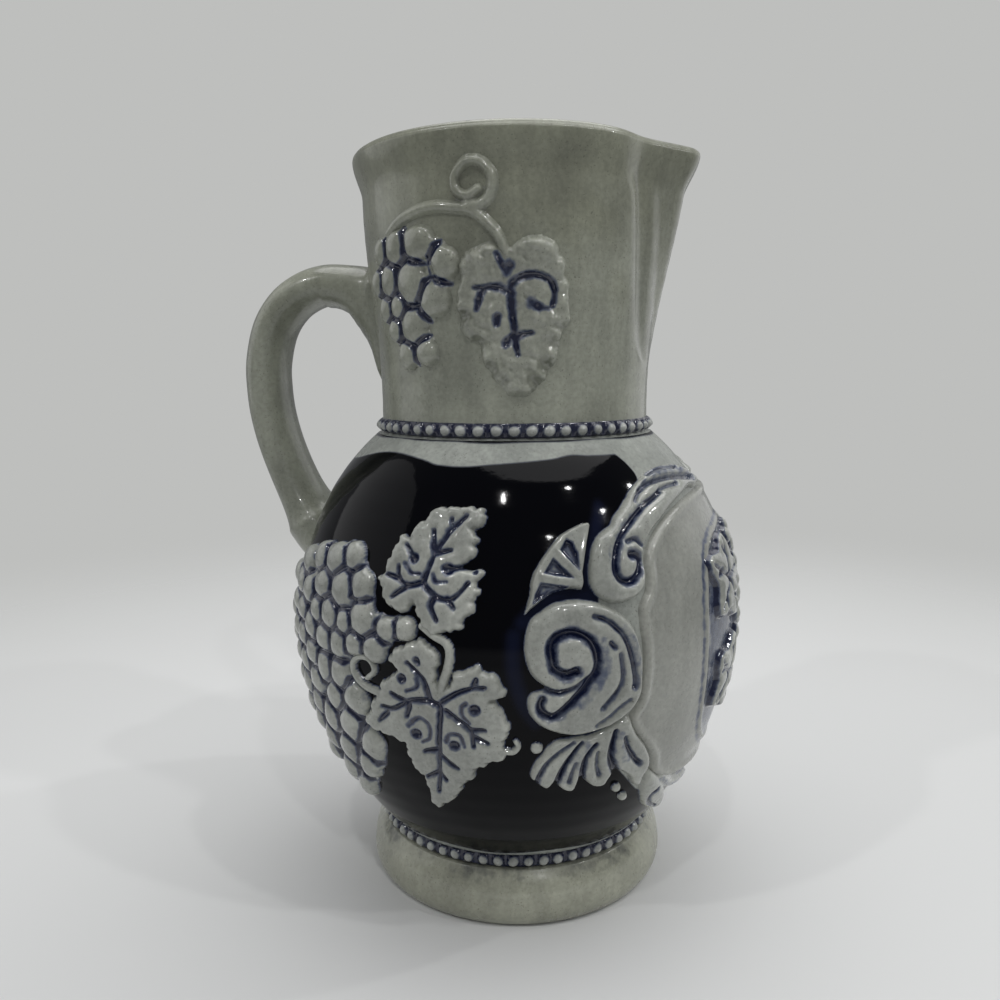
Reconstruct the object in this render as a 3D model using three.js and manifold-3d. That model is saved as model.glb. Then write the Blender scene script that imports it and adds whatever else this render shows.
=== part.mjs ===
// Stoneware wine pitcher with a beaked spout, a strap handle and luted relief, in millimetres.
// +Z is up, +X is the spout's side, -X the handle's side, and the origin is the middle of the foot.
// Angles are in degrees round the axis, 0 at the spout. Relief is drawn for the side of negative
// angles and mirrored for the other one.
import * as THREE from 'three';
import Module from 'manifold-3d';

const wasm = await Module();
wasm.setup();

// Driving dimensions
const rimHeight = 210;            // from the table to the rim
const seatGap = 0.3;              // clearance between a piece and what it is luted to
const wall = 4.6;                 // thickness of the thrown walls

const footHeight = 15.6;          // foot ring, up to the seat of the belly
const footRadius = 44.9;          // its widest, above the rounded lower edge
const footEdge = 2.4;             // rounding of the lower edge
const footSeatRadius = 41.3;      // outside of the seat
const footSeatWidth = 8.5;        // width of the seat under the belly
const footStandWidth = 6.5;       // width of the ring that stands on the table

const bellyRadius = 64;           // widest point of the belly
const bellyWidest = 82;           // height of that point
const bellyFootRadius = 40.4;     // waist under the foot beads
const floorThickness = 6;
const ledge = 1.5;                // the wall steps in this far behind a bead band

const seamHeight = 135.5;         // belly and neck meet here, behind the neck beads
const lutingStep = 2.2;           // height of the step that centres the neck on the belly
const neckFootRadius = 39;
const neckTopRadius = 43.1;
const neckStraight = 6.5;         // height of the straight neck over the seam
const lipFlare = 2.5;             // how far the rim turns out
const lipHeight = 10.5;           // height over which it turns out
const lipRounding = 1.5;          // rounding of the rim's top edge

const beakRise = 16.5;            // height of the plain neck under the beak
const beakReach = 6.6;            // how far the beak passes the rim's circle
const beakApex = 15.2;            // how far its flanks would pass that circle if they met
const beakBlunting = 2.2;         // rounding of the tip where they do meet
const beakHalfAngle = 33;         // angle of the crease beside it, at the rim
const beakPinch = 1.8;            // how far the wall is pressed in at that crease
const creaseSpread = 10;          // angle over which the pressing fades

const handleRootDrop = 35.5;      // upper root, under the rim
const handleFootRise = 15;        // lower root, over the belly's widest point
const handleOut = 76.3;           // middle of the handle, at its farthest from the axis
const handleOutDrop = 25.5;       // that point, under the upper root
const handleThickness = 12;
const handleWidth = 21;
const rootFlare = 2.2;            // how far the handle spreads where it meets the belly
const webReach = 8.5;             // depth of the web under the upper root, at the wall
const webFade = 3.2;              // distance over which that web fades out
const webLimit = 27;              // deepest that the web hangs, where the beads leave it room

const neckBeads = 54;
const footBeads = 62;
const beadSize = 4.2;             // height of a bead band
const beadProud = 2.2;            // how far a bead stands out of the wall

const leafRelief = 2.5;           // heights of the relief over the wall
const scrollRelief = 2.5;
const palmetteRelief = 2.1;
const pearlRelief = 1.6;
const grapeRelief = 2.9;
const neckRelief = 1.7;
const neckGrapeRelief = 2.5;
const fieldRelief = 1.1;          // the medallion's smooth field
const emblemRelief = 1.9;         // relief over that field
const grooveDepth = 1.1;
const grooveWidth = 1.7;

const bellyColumns = 36;          // facets round the belly and the foot
const sectionPoints = 12;         // facets round the handle

// Glazes: colour and finish
const glazes = {
  saltGrey: { color: 0x7c7f73, roughness: 0.38 },
  handleGrey: { color: 0x6b6d62, roughness: 0.36 },
  cobaltGround: { color: 0x12131c, roughness: 0.1 },
  beadBlue: { color: 0x5b6584, roughness: 0.34 },
  reliefGrey: { color: 0x9a9b94, roughness: 0.36 },
  fieldGrey: { color: 0x8f9087, roughness: 0.34 },
};

// Heights and half axes that follow
const bellyBottom = footHeight + seatGap;
const footBeadHeight = bellyBottom + beadSize / 2;
const waistHeight = footBeadHeight + beadSize / 2 + seatGap;
const collarHeight = seamHeight - beadSize / 2 - seatGap;
const neckBottom = seamHeight + seatGap / 2;
const beakFoot = seamHeight + beakRise;
const neckEaseFrom = seamHeight + neckStraight;
const neckEaseTo = rimHeight - lipRounding - lipHeight;
const handleRootHeight = rimHeight - handleRootDrop;
const handleFootHeight = bellyWidest + handleFootRise;
const handleOutHeight = handleRootHeight - handleOutDrop;
const reachUp = halfAxis(collarHeight - bellyWidest, neckFootRadius + ledge);
const reachDown = halfAxis(bellyWidest - waistHeight, bellyFootRadius + ledge);
const webRoom = handleRootHeight - handleThickness / 2 - seamHeight - beadSize / 2 - 2 * seatGap;

// The sprigs' outlines are drawn for a belly of 64 mm radius and for a neck of 43.1 mm radius.
// Sprigs of another jug are larger or smaller in these proportions.
const bellyScale = bellyRadius / 64;
const neckScale = neckTopRadius / 43.1;

// Upright half axis of the belly's ellipse that has this radius at this distance from its middle
function halfAxis(distance, radius) {
  return distance / Math.sqrt(1 - (radius / bellyRadius) ** 2);
}

function rad(angle) {
  return THREE.MathUtils.degToRad(angle);
}

function ease(t) {
  const s = THREE.MathUtils.clamp(t, 0, 1);
  return s * s * (3 - 2 * s);
}

function evenly(from, to, count) {
  return Array.from({ length: count + 1 }, (_, i) => from + ((to - from) * i) / count);
}

// Outer radius of the belly: two half ellipses that share its widest circle
function bellyRadiusAt(z) {
  const t = Math.abs(z - bellyWidest) / (z < bellyWidest ? reachDown : reachUp);
  return bellyRadius * Math.sqrt(Math.max(0, 1 - t * t));
}

function neckRadiusAt(z) {
  const widening = ease((z - neckEaseFrom) / (neckEaseTo - neckEaseFrom));
  const flare = ease((z - neckEaseTo) / lipHeight);
  return neckFootRadius + (neckTopRadius - neckFootRadius) * widening + lipFlare * flare;
}

// Outer radius of the neck with its beak: straight flanks from a pressed-in crease on each side
// to a blunt tip
function beakedRadiusAt(z, angle) {
  const plain = neckRadiusAt(z);
  const t = (z - beakFoot) / (rimHeight - beakFoot);
  if (t <= 0) return plain;
  const crease = beakHalfAngle * Math.sqrt(t);
  const growth = t ** 1.5;
  const off = Math.abs(angle);
  const pinched = plain - beakPinch * t * Math.exp(-(((off - crease) / creaseSpread) ** 2));
  if (off >= crease) return pinched;
  const apex = plain + beakApex * growth;
  const lean = (1 / (plain - beakPinch * t) - Math.cos(rad(crease)) / apex) / Math.sin(rad(crease));
  const flank = 1 / (Math.cos(rad(off)) / apex + lean * Math.sin(rad(off)));
  const blunting = Math.max(0.5, beakBlunting * growth);
  const tip = plain + beakReach * growth + blunting / 4;
  const mix = THREE.MathUtils.clamp(0.5 + (0.5 * (tip - flank)) / blunting, 0, 1);
  const beak = tip * (1 - mix) + flank * mix - blunting * mix * (1 - mix);
  return Math.max(beak, pinched);
}

// Angles of the neck's columns, twice as close across the beak
function neckAngles() {
  const across = beakHalfAngle + 1.5 * creaseSpread;
  const fine = evenly(-across, across, 16);
  const coarse = evenly(across, 360 - across, 26);
  return [...fine, ...coarse.slice(1, -1)];
}

// Heights of the belly's rows, at even turns along each half ellipse
function bellyHeights(count) {
  const down = evenly(Math.asin((bellyWidest - waistHeight) / reachDown), 0, count);
  const up = evenly(0, Math.asin((collarHeight - bellyWidest) / reachUp), count);
  return [
    ...down.map((turn) => bellyWidest - reachDown * Math.sin(turn)),
    ...up.slice(1).map((turn) => bellyWidest + reachUp * Math.sin(turn)),
  ];
}

// The two walls that carry relief: their profile, facets, the heights between which relief lies,
// and the scale of its outlines
const belly = {
  radiusAt: bellyRadiusAt,
  scale: bellyScale,
  angles: evenly(-180, 180, bellyColumns).slice(1),
  rows: bellyHeights(6),
};
const neck = {
  radiusAt: neckRadiusAt,
  scale: neckScale,
  angles: neckAngles(),
  rows: [
    seamHeight + beadSize / 2 + seatGap,
    ...evenly(neckEaseFrom, neckEaseTo, 5),
    neckEaseTo + lipHeight / 2,
  ],
};

function onCircle(angle, radius, z) {
  return new THREE.Vector3(radius * Math.cos(rad(angle)), radius * Math.sin(rad(angle)), z);
}

// How fast a wall's radius grows with height
function slopeAt(carrier, z) {
  return carrier.radiusAt(z + 0.5) - carrier.radiusAt(z - 0.5);
}

// Point on a wall, lifted along its normal
function onWall(carrier, angle, z, lift = 0) {
  const slope = slopeAt(carrier, z);
  const length = Math.hypot(1, slope);
  return onCircle(angle, carrier.radiusAt(z) + lift / length, z - (lift * slope) / length);
}

// Length along a wall's profile between two heights, upward positive
function alongWall(carrier, from, to) {
  const step = Math.sign(to - from) * 0.5;
  let length = 0;
  for (let z = from; Math.abs(to - z) > 0.25; z += step) {
    length += step * Math.hypot(1, slopeAt(carrier, z + step / 2));
  }
  return length;
}

// Place on a wall that lies across and up from a hub, as drawn, measured along the wall
function beside(hub, across, up) {
  const { scale, radiusAt } = hub.carrier;
  const steps = Math.max(1, Math.ceil(Math.abs(up) / 0.5));
  let height = hub.height;
  for (let i = 0; i < steps; i += 1) {
    height += (scale * up) / steps / Math.hypot(1, slopeAt(hub.carrier, height));
  }
  const turn = THREE.MathUtils.radToDeg((scale * across) / radiusAt(height));
  return { angle: hub.angle + turn, height };
}

// The same place the other way round: how far across and up from a hub it is drawn
function seenFrom(hub, place) {
  const { scale, radiusAt } = hub.carrier;
  const across = rad(place.angle - hub.angle) * radiusAt(place.height);
  return [across / scale, alongWall(hub.carrier, hub.height, place.height) / scale];
}

// Indexed geometry whose faces point out
function outward(position, index) {
  const at = (i) => new THREE.Vector3().fromArray(position, 3 * i);
  let volume = 0;
  for (let i = 0; i < index.length; i += 3) {
    volume += at(index[i]).dot(at(index[i + 1]).cross(at(index[i + 2])));
  }
  const faces = [];
  for (let i = 0; i < index.length; i += 3) {
    if (volume < 0) faces.push(index[i], index[i + 2], index[i + 1]);
    else faces.push(index[i], index[i + 1], index[i + 2]);
  }
  const geometry = new THREE.BufferGeometry();
  geometry.setAttribute('position', new THREE.Float32BufferAttribute(position, 3));
  geometry.setIndex(faces);
  return geometry;
}

// Closed body through rings of points. The last ring joins the first one, or else each end is
// closed to its middle.
function ringBody(rings, closed) {
  const count = rings[0].length;
  const position = rings.flat().flatMap((p) => [p.x, p.y, p.z]);
  const index = [];
  const bands = closed ? rings.length : rings.length - 1;
  for (let i = 0; i < bands; i += 1) {
    const low = i * count;
    const high = ((i + 1) % rings.length) * count;
    for (let j = 0; j < count; j += 1) {
      const k = (j + 1) % count;
      index.push(low + j, low + k, high + k, low + j, high + k, high + j);
    }
  }
  if (!closed) {
    const ends = [0, (rings.length - 1) * count];
    for (const first of ends) {
      const ring = rings[first / count];
      const middle = ring.reduce((sum, p) => sum.add(p), new THREE.Vector3()).divideScalar(count);
      const at = position.length / 3;
      position.push(middle.x, middle.y, middle.z);
      for (let j = 0; j < count; j += 1) {
        const k = (j + 1) % count;
        if (first === 0) index.push(at, first + k, first + j);
        else index.push(at, first + j, first + k);
      }
    }
  }
  return outward(position, index);
}

function toSolid(geometry) {
  return new wasm.Manifold(new wasm.Mesh({
    numProp: 3,
    vertProperties: new Float32Array(geometry.attributes.position.array),
    triVerts: new Uint32Array(geometry.index.array),
  }));
}

function toGeometry(solid) {
  const mesh = solid.getMesh();
  const geometry = new THREE.BufferGeometry();
  geometry.setAttribute('position', new THREE.BufferAttribute(new Float32Array(mesh.vertProperties), 3));
  geometry.setIndex(new THREE.BufferAttribute(new Uint32Array(mesh.triVerts), 1));
  return geometry;
}

function ringAt(angles, radius, z) {
  return angles.map((angle) => onCircle(angle, radius, z));
}

// Foot ring: rounded lower edge, waist and a flat seat on top, hollow in the middle
function makeFootRing() {
  const stand = footRadius - footEdge;
  const profile = [
    [stand, 0],
    [footRadius - 0.3 * footEdge, 0.8 * footEdge],
    [footRadius, 1.9 * footEdge],
    [footRadius - 0.2 * footEdge, 0.58 * footHeight],
    [footSeatRadius + 0.7 * footEdge, 0.82 * footHeight],
    [footSeatRadius, footHeight],
    [footSeatRadius - footSeatWidth, footHeight],
    [stand - footStandWidth, 0.3 * footHeight],
    [stand - footStandWidth, 0],
  ];
  return ringBody(profile.map(([r, z]) => ringAt(belly.angles, r, z)), true);
}

// Belly: its outside from the underside to the seam, its inside from the mouth to the floor
function makeBelly() {
  const { angles } = belly;
  const top = seamHeight - seatGap / 2;
  const mouth = neckFootRadius - wall;
  const lip = neckFootRadius - wall / 2;
  const floor = bellyBottom + floorThickness;
  const inside = [...belly.rows].reverse().filter((_, i) => i % 2 === 0);
  const rings = [
    ringAt(angles, bellyFootRadius - ledge, bellyBottom),
    ringAt(angles, bellyFootRadius, bellyBottom + ledge),
    ringAt(angles, bellyFootRadius, waistHeight),
    ...belly.rows.map((z) => ringAt(angles, bellyRadiusAt(z), z)),
    ringAt(angles, neckFootRadius, collarHeight),
    ringAt(angles, neckFootRadius, top),
    ringAt(angles, lip, top),
    ringAt(angles, lip, top + lutingStep),
    ringAt(angles, mouth, top + lutingStep),
    ringAt(angles, mouth, collarHeight - ledge),
    ...inside.map((z) => angles.map((angle) => onWall(belly, angle, z, -wall))),
    ringAt(angles, 0.7 * bellyFootRadius, floor),
  ];
  return ringBody(rings, false);
}

// Neck with its beak and rounded rim, cut back below to stand over the belly's step
function makeNeck() {
  const { angles } = neck;
  const step = seamHeight + lutingStep + 1.5 * seatGap;
  const rebate = neckFootRadius - wall / 2 + seatGap;
  const edge = rimHeight - lipRounding;
  const outside = [neckBottom, ...neck.rows.slice(1)];
  const inside = neck.rows.slice(1).reverse();
  const beaked = (z, inset, height = z) => (
    angles.map((angle) => onCircle(angle, beakedRadiusAt(z, angle) - inset, height)));
  const rim = evenly(0, Math.PI, 4).map((turn) => (
    beaked(edge, (wall / 2) * (1 - Math.cos(turn)), edge + lipRounding * Math.sin(turn))));
  const rings = [
    ...outside.map((z) => beaked(z, 0)),
    ...rim,
    ...inside.map((z) => beaked(z, wall)),
    ringAt(angles, neckFootRadius - wall, step),
    ringAt(angles, rebate, step),
    ringAt(angles, rebate, neckBottom),
  ];
  return ringBody(rings, true);
}

// Solid that fills a wall's outside, lifted by a given amount
function filledTo(carrier, lift) {
  return toSolid(ringBody(carrier.rows.map((z) => (
    carrier.angles.map((angle) => onWall(carrier, angle, z, lift)))), false));
}

// One cross-section of the handle: an oval in the plane square to its path
function handleSection(point, tangent, inner, outer, halfWidth) {
  const normal = new THREE.Vector3(-tangent.z, 0, tangent.x);
  return Array.from({ length: sectionPoints }, (_, i) => {
    const turn = (2 * Math.PI * i) / sectionPoints;
    const depth = Math.cos(turn) > 0 ? inner : outer;
    const place = point.clone().addScaledVector(normal, depth * Math.cos(turn));
    return place.setY(halfWidth * Math.sin(turn));
  });
}

// Handle: along two curves from the neck to the belly, with a web under its upper root, cut
// back to both walls
function makeHandle() {
  const root = neckRadiusAt(handleRootHeight);
  const foot = bellyRadiusAt(handleFootHeight) - wall;
  const at = (radius, z) => new THREE.Vector3(-radius, 0, z);
  const path = new THREE.CurvePath();
  path.add(new THREE.LineCurve3(at(root - wall / 2, handleRootHeight), at(root + 2, handleRootHeight)));
  path.add(new THREE.CubicBezierCurve3(
    at(root + 2, handleRootHeight),
    at(handleOut - 10.3, handleRootHeight + 6.5),
    at(handleOut + 0.2, handleOutHeight + 19),
    at(handleOut, handleOutHeight),
  ));
  path.add(new THREE.CubicBezierCurve3(
    at(handleOut, handleOutHeight),
    at(handleOut - 0.2, handleOutHeight - 15),
    at(handleOut - 7.3, handleOutHeight - 31),
    at(foot, handleFootHeight),
  ));
  const length = path.getLength();
  const half = handleThickness / 2;
  const rings = evenly(0, 1, 22).map((share) => {
    const point = path.getPointAt(share);
    const web = Math.min(webLimit, webRoom, webReach * Math.exp((root + 2 + point.x) / webFade));
    const flare = rootFlare * Math.exp((-(1 - share) * length) / half);
    const inner = half + web + flare;
    return handleSection(point, path.getTangentAt(share), inner, half + flare, handleWidth / 2 + flare);
  });
  const solid = toSolid(ringBody(rings, false));
  return toGeometry(solid.subtract(filledTo(belly, seatGap)).subtract(filledTo(neck, seatGap)));
}

// Bead band: a ring whose outside swells once a bead
function makeBeadBand(count, middle, wallRadius) {
  const angles = evenly(0, 360, 2 * count).slice(1);
  const back = wallRadius + seatGap;
  const between = back + 0.25 * beadProud;
  const row = (valley, bead, z) => (
    angles.map((angle, i) => onCircle(angle, i % 2 === 0 ? valley : bead, z)));
  return ringBody([
    row(back, back, middle - beadSize / 2),
    row(between, wallRadius + beadProud, middle - beadSize / 8),
    row(between, wallRadius + beadProud, middle + beadSize / 8),
    row(back, back, middle + beadSize / 2),
  ], true);
}

// Wedge from inside a wall to well outside it, over an outline of mm across and up from a hub
function wedgeOver(hub, outline) {
  const drawn = outline.map(([across, up]) => {
    const place = beside(hub, across, up);
    return onWall(hub.carrier, place.angle, place.height);
  });
  const flat = outline.map(([across, up]) => new THREE.Vector2(across, up));
  const count = drawn.length;
  const position = [0.6, 1.9].flatMap((share) => drawn.flatMap((p) => [share * p.x, share * p.y, p.z]));
  const index = [];
  for (const [a, b, c] of THREE.ShapeUtils.triangulateShape(flat, [])) {
    index.push(a, c, b, count + a, count + b, count + c);
  }
  for (let j = 0; j < count; j += 1) {
    const k = (j + 1) % count;
    index.push(j, k, count + k, j, count + k, count + j);
  }
  return toSolid(outward(position, index));
}

// Outline of a strip along a line of points, its width changing evenly
function strip(points, widthFrom, widthTo, steps) {
  const curve = new THREE.SplineCurve(points.map(([x, y]) => new THREE.Vector2(x, y)));
  const sides = evenly(0, 1, steps).map((share) => {
    const half = (widthFrom + (widthTo - widthFrom) * share) / 2;
    const out = curve.getTangent(share).rotateAround(new THREE.Vector2(), -Math.PI / 2).multiplyScalar(half);
    return [curve.getPoint(share).add(out), curve.getPoint(share).sub(out)];
  });
  const right = sides.map(([p]) => [p.x, p.y]);
  const left = sides.map(([, p]) => [p.x, p.y]);
  return [...right, ...left.reverse()];
}

function disc(x, y, radius, count) {
  return evenly(0, 2 * Math.PI, count).slice(1)
    .map((turn) => [x + radius * Math.cos(turn), y + radius * Math.sin(turn)]);
}

function anticlockwise(outline) {
  const flat = outline.map(([x, y]) => new THREE.Vector2(x, y));
  return THREE.ShapeUtils.isClockWise(flat) ? [...outline].reverse() : outline;
}

// Relief between two heights over a wall, of the outlines joined, less its grooves
function relief(hub, outlines, height, { base = seatGap, grooves = [] } = {}) {
  let body = wedgeOver(hub, anticlockwise(outlines[0]));
  for (const outline of outlines.slice(1)) body = body.add(wedgeOver(hub, anticlockwise(outline)));
  body = body.intersect(filledTo(hub.carrier, height)).subtract(filledTo(hub.carrier, base));
  for (const groove of grooves) {
    const cut = wedgeOver(hub, anticlockwise(groove)).subtract(filledTo(hub.carrier, height - grooveDepth));
    body = body.subtract(cut);
  }
  return toGeometry(body);
}

function isInside(outline, x, y) {
  return outline.filter(([ax, ay], i) => {
    const [bx, by] = outline[(i + 1) % outline.length];
    return (ay > y) !== (by > y) && x < ((bx - ax) * (y - ay)) / (by - ay) + ax;
  }).length % 2 === 1;
}

// Distance of a point to an outline, nothing inside it
function distanceTo(outline, x, y) {
  if (isInside(outline, x, y)) return 0;
  const point = new THREE.Vector3(x, y, 0);
  const nearest = new THREE.Vector3();
  return Math.min(...outline.map(([ax, ay], i) => {
    const [bx, by] = outline[(i + 1) % outline.length];
    const side = new THREE.Line3(new THREE.Vector3(ax, ay, 0), new THREE.Vector3(bx, by, 0));
    return side.closestPointToPoint(point, true, nearest).distanceTo(point);
  }));
}

// Grapes packed as six-sided domes inside an outline and clear of other relief. Neighbours share
// the low corners between them.
function grapes(hub, outline, [width, length], height, { base = seatGap, clear = [] } = {}) {
  const { rows, scale } = hub.carrier;
  const corners = [[2, 0], [1, 1.5], [-1, 1.5], [-2, 0], [-1, -1.5], [1, -1.5]]
    .map(([x, y]) => [(x * width) / 3, (y * length) / 3]);
  const reach = Math.hypot(width, length) / 2;
  const isFree = (x, y) => {
    const place = beside(hub, x, y);
    const room = Math.min(place.height - rows[0], rows.at(-1) - place.height);
    if (room < scale * length) return false;
    return clear.every(({ around, outline: other }) => (
      distanceTo(other, ...seenFrom(around, place)) > reach + seatGap));
  };
  const position = [];
  const index = [];
  const known = new Map();
  const point = (x, y, lift) => {
    const key = [x, y, lift].map((v) => Math.round(100 * v)).join();
    if (!known.has(key)) {
      const place = beside(hub, x, y);
      position.push(...onWall(hub.carrier, place.angle, place.height, lift).toArray());
      known.set(key, known.size);
    }
    return known.get(key);
  };
  const low = base + 0.3 * (height - base);
  const open = new Map();
  for (const column of evenly(-8, 8, 16)) {
    for (const row of evenly(-8, 8, 16)) {
      const x = column * width;
      const y = (row + (column % 2 === 0 ? 0 : 0.5)) * length;
      if (!isInside(outline, x, y) || !isFree(x, y)) continue;
      const top = point(x, y, height);
      const back = corners.map(([cx, cy]) => point(x + cx, y + cy, base));
      const valley = corners.map(([cx, cy]) => point(x + cx, y + cy, low));
      corners.forEach((_, j) => {
        const k = (j + 1) % 6;
        index.push(top, valley[j], valley[k]);
        if (j > 0 && j < 5) index.push(back[0], back[k], back[j]);
        if (!open.delete(`${valley[k]} ${valley[j]}`)) {
          open.set(`${valley[j]} ${valley[k]}`, [valley[j], valley[k], back[j], back[k]]);
        }
      });
    }
  }
  for (const [a, b, backA, backB] of open.values()) {
    index.push(a, backA, backB, a, backB, b);
  }
  return outward(position, index);
}

function mirrored(geometry) {
  const copy = geometry.clone().scale(1, -1, 1);
  const faces = Array.from(copy.index.array);
  for (let i = 0; i < faces.length; i += 3) [faces[i + 1], faces[i + 2]] = [faces[i + 2], faces[i + 1]];
  copy.setIndex(faces);
  return copy;
}

// Hubs of the relief: the wall that carries it, the angle and the height
const neckGrapeHub = { carrier: neck, angle: -120, height: rimHeight - 38 * neckScale };
const neckVineHub = { carrier: neck, angle: -105, height: rimHeight - 20 * neckScale };
const neckLeafHub = { carrier: neck, angle: -83, height: rimHeight - 39 * neckScale };
const upperLeafHub = { carrier: belly, angle: -102.5, height: bellyWidest + 18.5 * bellyScale };
const lowerLeafHub = { carrier: belly, angle: -101.5, height: bellyWidest - 10 * bellyScale };
const bunchHub = { carrier: belly, angle: -137, height: bellyWidest - 7 * bellyScale };
const cartoucheHub = { carrier: belly, angle: -64, height: bellyWidest + 3 * bellyScale };
const frontHub = { carrier: belly, angle: 0, height: bellyWidest };

// Outlines as drawn, across and up from their hubs
const upperLeaf = [
  [2.5, 19.5], [11, 19], [12, 16], [9, 13.5], [11.5, 11], [11, 7.5], [7, 4], [13.5, 3.5], [11.5, 1],
  [13, -1.5], [12, -5.5], [8.5, -8.5], [2, -12.5], [-1, -10.5], [-3.5, -4.5], [-6, -7.5], [-10.5, -6.5],
  [-12.5, -2.5], [-14.5, 0], [-12, 4], [-8.5, 11.5], [-6, 10], [-3, 15], [-0.5, 18.5],
];
const lowerLeaf = [
  [-11.5, 9.5], [-9, 12.5], [-2.5, 15.5], [2.5, 11], [1.5, 5.5], [5, 4.5], [8.5, 8.5], [12, 10.5], [16, 8],
  [18.5, 3.5], [14.5, 1.5], [19, -5.5], [17, -10.5], [16, -15], [12.5, -15.5], [9, -21], [5, -25.5],
  [2.5, -29], [-2, -32.5], [-4, -30.5], [-5.5, -20.5], [-8, -12.5], [-17.5, -11], [-20, -7.5], [-17.5, -3],
  [-14.5, 0], [-14, 3], [-8.5, 7],
];
const leafStem = strip([[3.8, 15.2], [5, 12.5], [4.8, 9], [3.2, 3.2]], 1.8, 2.2, 3);
const leafTendril = strip(
  [[-13, -0.6], [-17, 0], [-20.5, 1.2], [-22.8, 4], [-21.8, 7.4], [-18, 8]], 1.9, 1.6, 6);
const leafHook = strip([[16.4, -11.4], [18.6, -12.4], [20.2, -11.4], [20, -9.6]], 1.8, 1.3, 3);
const neckLeaf = [
  [-1.5, 7], [-5, 11], [-11, 9.5], [-14, 7], [-13.5, 5], [-14.5, 1.5], [-13.5, -2.5], [-14.5, -5],
  [-13, -10.5], [-9, -14.5], [-7.5, -20], [-5, -24.5], [-0.5, -28], [5, -24.5], [9.5, -17.5],
  [10.5, -12.5], [13.5, -9.5], [14.5, -4.5], [13.5, -2.5], [14, 4.5], [8, 10.5], [2, 12.5],
];
const vineArch = strip(
  [[-19.5, -4], [-11, 0], [-5, 1], [1, 0.6], [6, -0.5], [9, -2.5], [12.5, -6.5]], 2.2, 2, 8);
const vineCurl = strip(
  [[7, -0.6], [10, 1.2], [11.8, 4.5], [11, 8.6], [7.6, 10.4], [4.2, 9.2], [3.2, 6.6], [4.6, 4.4]], 2, 1.5, 9);
const fan = [
  [-0.5, 30.5], [-5, 29.5], [-10, 25.5], [-14, 21.5], [-16.5, 17], [-19, 8.8], [-11.5, 13.9], [-7, 15],
  [-3.6, 15.2], [-4, 19.5], [-2.8, 25],
];
const fanOpenings = [
  [[-9, 24.5], [-6.5, 26.5], [-5.2, 24], [-5.7, 17.5]],
  [[-11, 22.5], [-13.3, 18.5], [-7.6, 16.9]],
];
const upperScroll = [
  [36, 42.5], [24.5, 43], [18, 41.5], [13.5, 37.5], [11.5, 33.5], [2.5, 27.5], [-0.3, 25.5], [-1.6, 21],
  [-1.6, 17], [0.5, 12.8], [5, 11.6], [8.5, 11.8], [11.5, 15], [12.2, 19.5], [12, 23.5], [17.5, 30.5],
  [24, 34.5], [34, 38],
];
const upperVolute = [
  [19, 35.5], [12.5, 31.5], [7.5, 27.5], [4.5, 24.5], [4, 20], [5, 16], [8.5, 16.5], [9.5, 20],
];
const lowerScroll = [
  [-1.5, 10.5], [3.5, 9], [8, 6.5], [9.6, 2], [9.4, -7.5], [6.8, -16], [3, -19.4], [-2.5, -21.2], [-9, -20.6],
  [-14, -18.8], [-18.5, -12.5], [-17, -10], [-13.5, -9], [-18.5, -2.5], [-19, 1.5], [-16, 8], [-7, 11.5],
];
const lowerVolute = [
  [-7, -4], [-11.8, -4], [-13, -0.5], [-12, 3], [-8.5, 4.6], [-4.5, 3], [-2.5, -0.5], [-3, -5], [-8.5, -13],
  [-14.5, -14.8],
];
const palmette = [
  [8, -18.8], [3.2, -21], [-2.5, -22.8], [-8.5, -22.6], [-12, -25], [-17.5, -33], [-14.8, -36.5],
  [-11.4, -34.8], [-7.5, -37.5], [-3.6, -34.8], [0, -37.5], [4.4, -33.8], [8.5, -34.6], [12, -39.8],
  [13.2, -36.5], [12, -32], [13.2, -28.5], [11.4, -22.5],
];
const knob = disc(18.2, -46.5, 2.6, 10);
const pearl = disc(-15.5, -24.6, 1.5, 8);
const bunch = [
  [-22, 30], [-8, 36], [14, 35], [20, 26], [30, 16], [34, 8], [28, -2], [26, -20], [20, -32], [14, -40],
  [6, -36], [-4, -24], [-14, -12], [-22, 2], [-25, 18],
];
const neckBunch = [
  [-18, 8], [-8, 15], [6, 15], [13, 8], [12, 0], [9, -12], [4, -21], [-7, -21], [-13, -10], [-19, 0],
];
const emblemBunch = [[-13, 24], [13, 24], [11, 0], [9, -20], [4, -30], [-4, -30], [-9, -20], [-11, 0]];
const emblemLeaves = {
  upper_right: { x: -21.5, y: 12.5, size: 12.5, turn: rad(150) },
  upper_left: { x: 21.5, y: 12.5, size: 12.5, turn: rad(30) },
  lower_right: { x: -20, y: -14.5, size: 11.5, turn: rad(215) },
  lower_left: { x: 20, y: -14.5, size: 11.5, turn: rad(-35) },
};

// Half of the medallion's outline from its top to its bottom point: angle, and height over the
// belly's widest point
const medallionHalf = [
  [0, 37], [-18, 35.5], [-33, 31.5], [-42.5, 27.6], [-47.2, 22], [-48.4, 15], [-52, 2], [-51.8, -6],
  [-48, -20], [-44, -26], [-40.5, -32.5], [-34, -37.5], [-22, -40.5], [0, -42],
];

function medallion() {
  const half = medallionHalf.map(([angle, rise]) => (
    seenFrom(frontHub, { angle, height: bellyWidest + rise * bellyScale })));
  const other = half.slice(1, -1).reverse().map(([across, up]) => [-across, up]);
  return relief(frontHub, [[...half, ...other]], fieldRelief);
}

// Outline of an emblem leaf: five lobes round its middle
function fiveLobes({ x, y, size, turn }) {
  return evenly(0, 2 * Math.PI, 20).slice(1).map((t) => {
    const r = size * (0.85 + 0.15 * Math.cos(5 * t));
    return [x + r * Math.cos(t + turn), y + r * Math.sin(t + turn)];
  });
}

function emblemLeaf(leaf) {
  const base = fieldRelief + seatGap;
  return relief(frontHub, [fiveLobes(leaf)], base + emblemRelief, { base });
}

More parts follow.
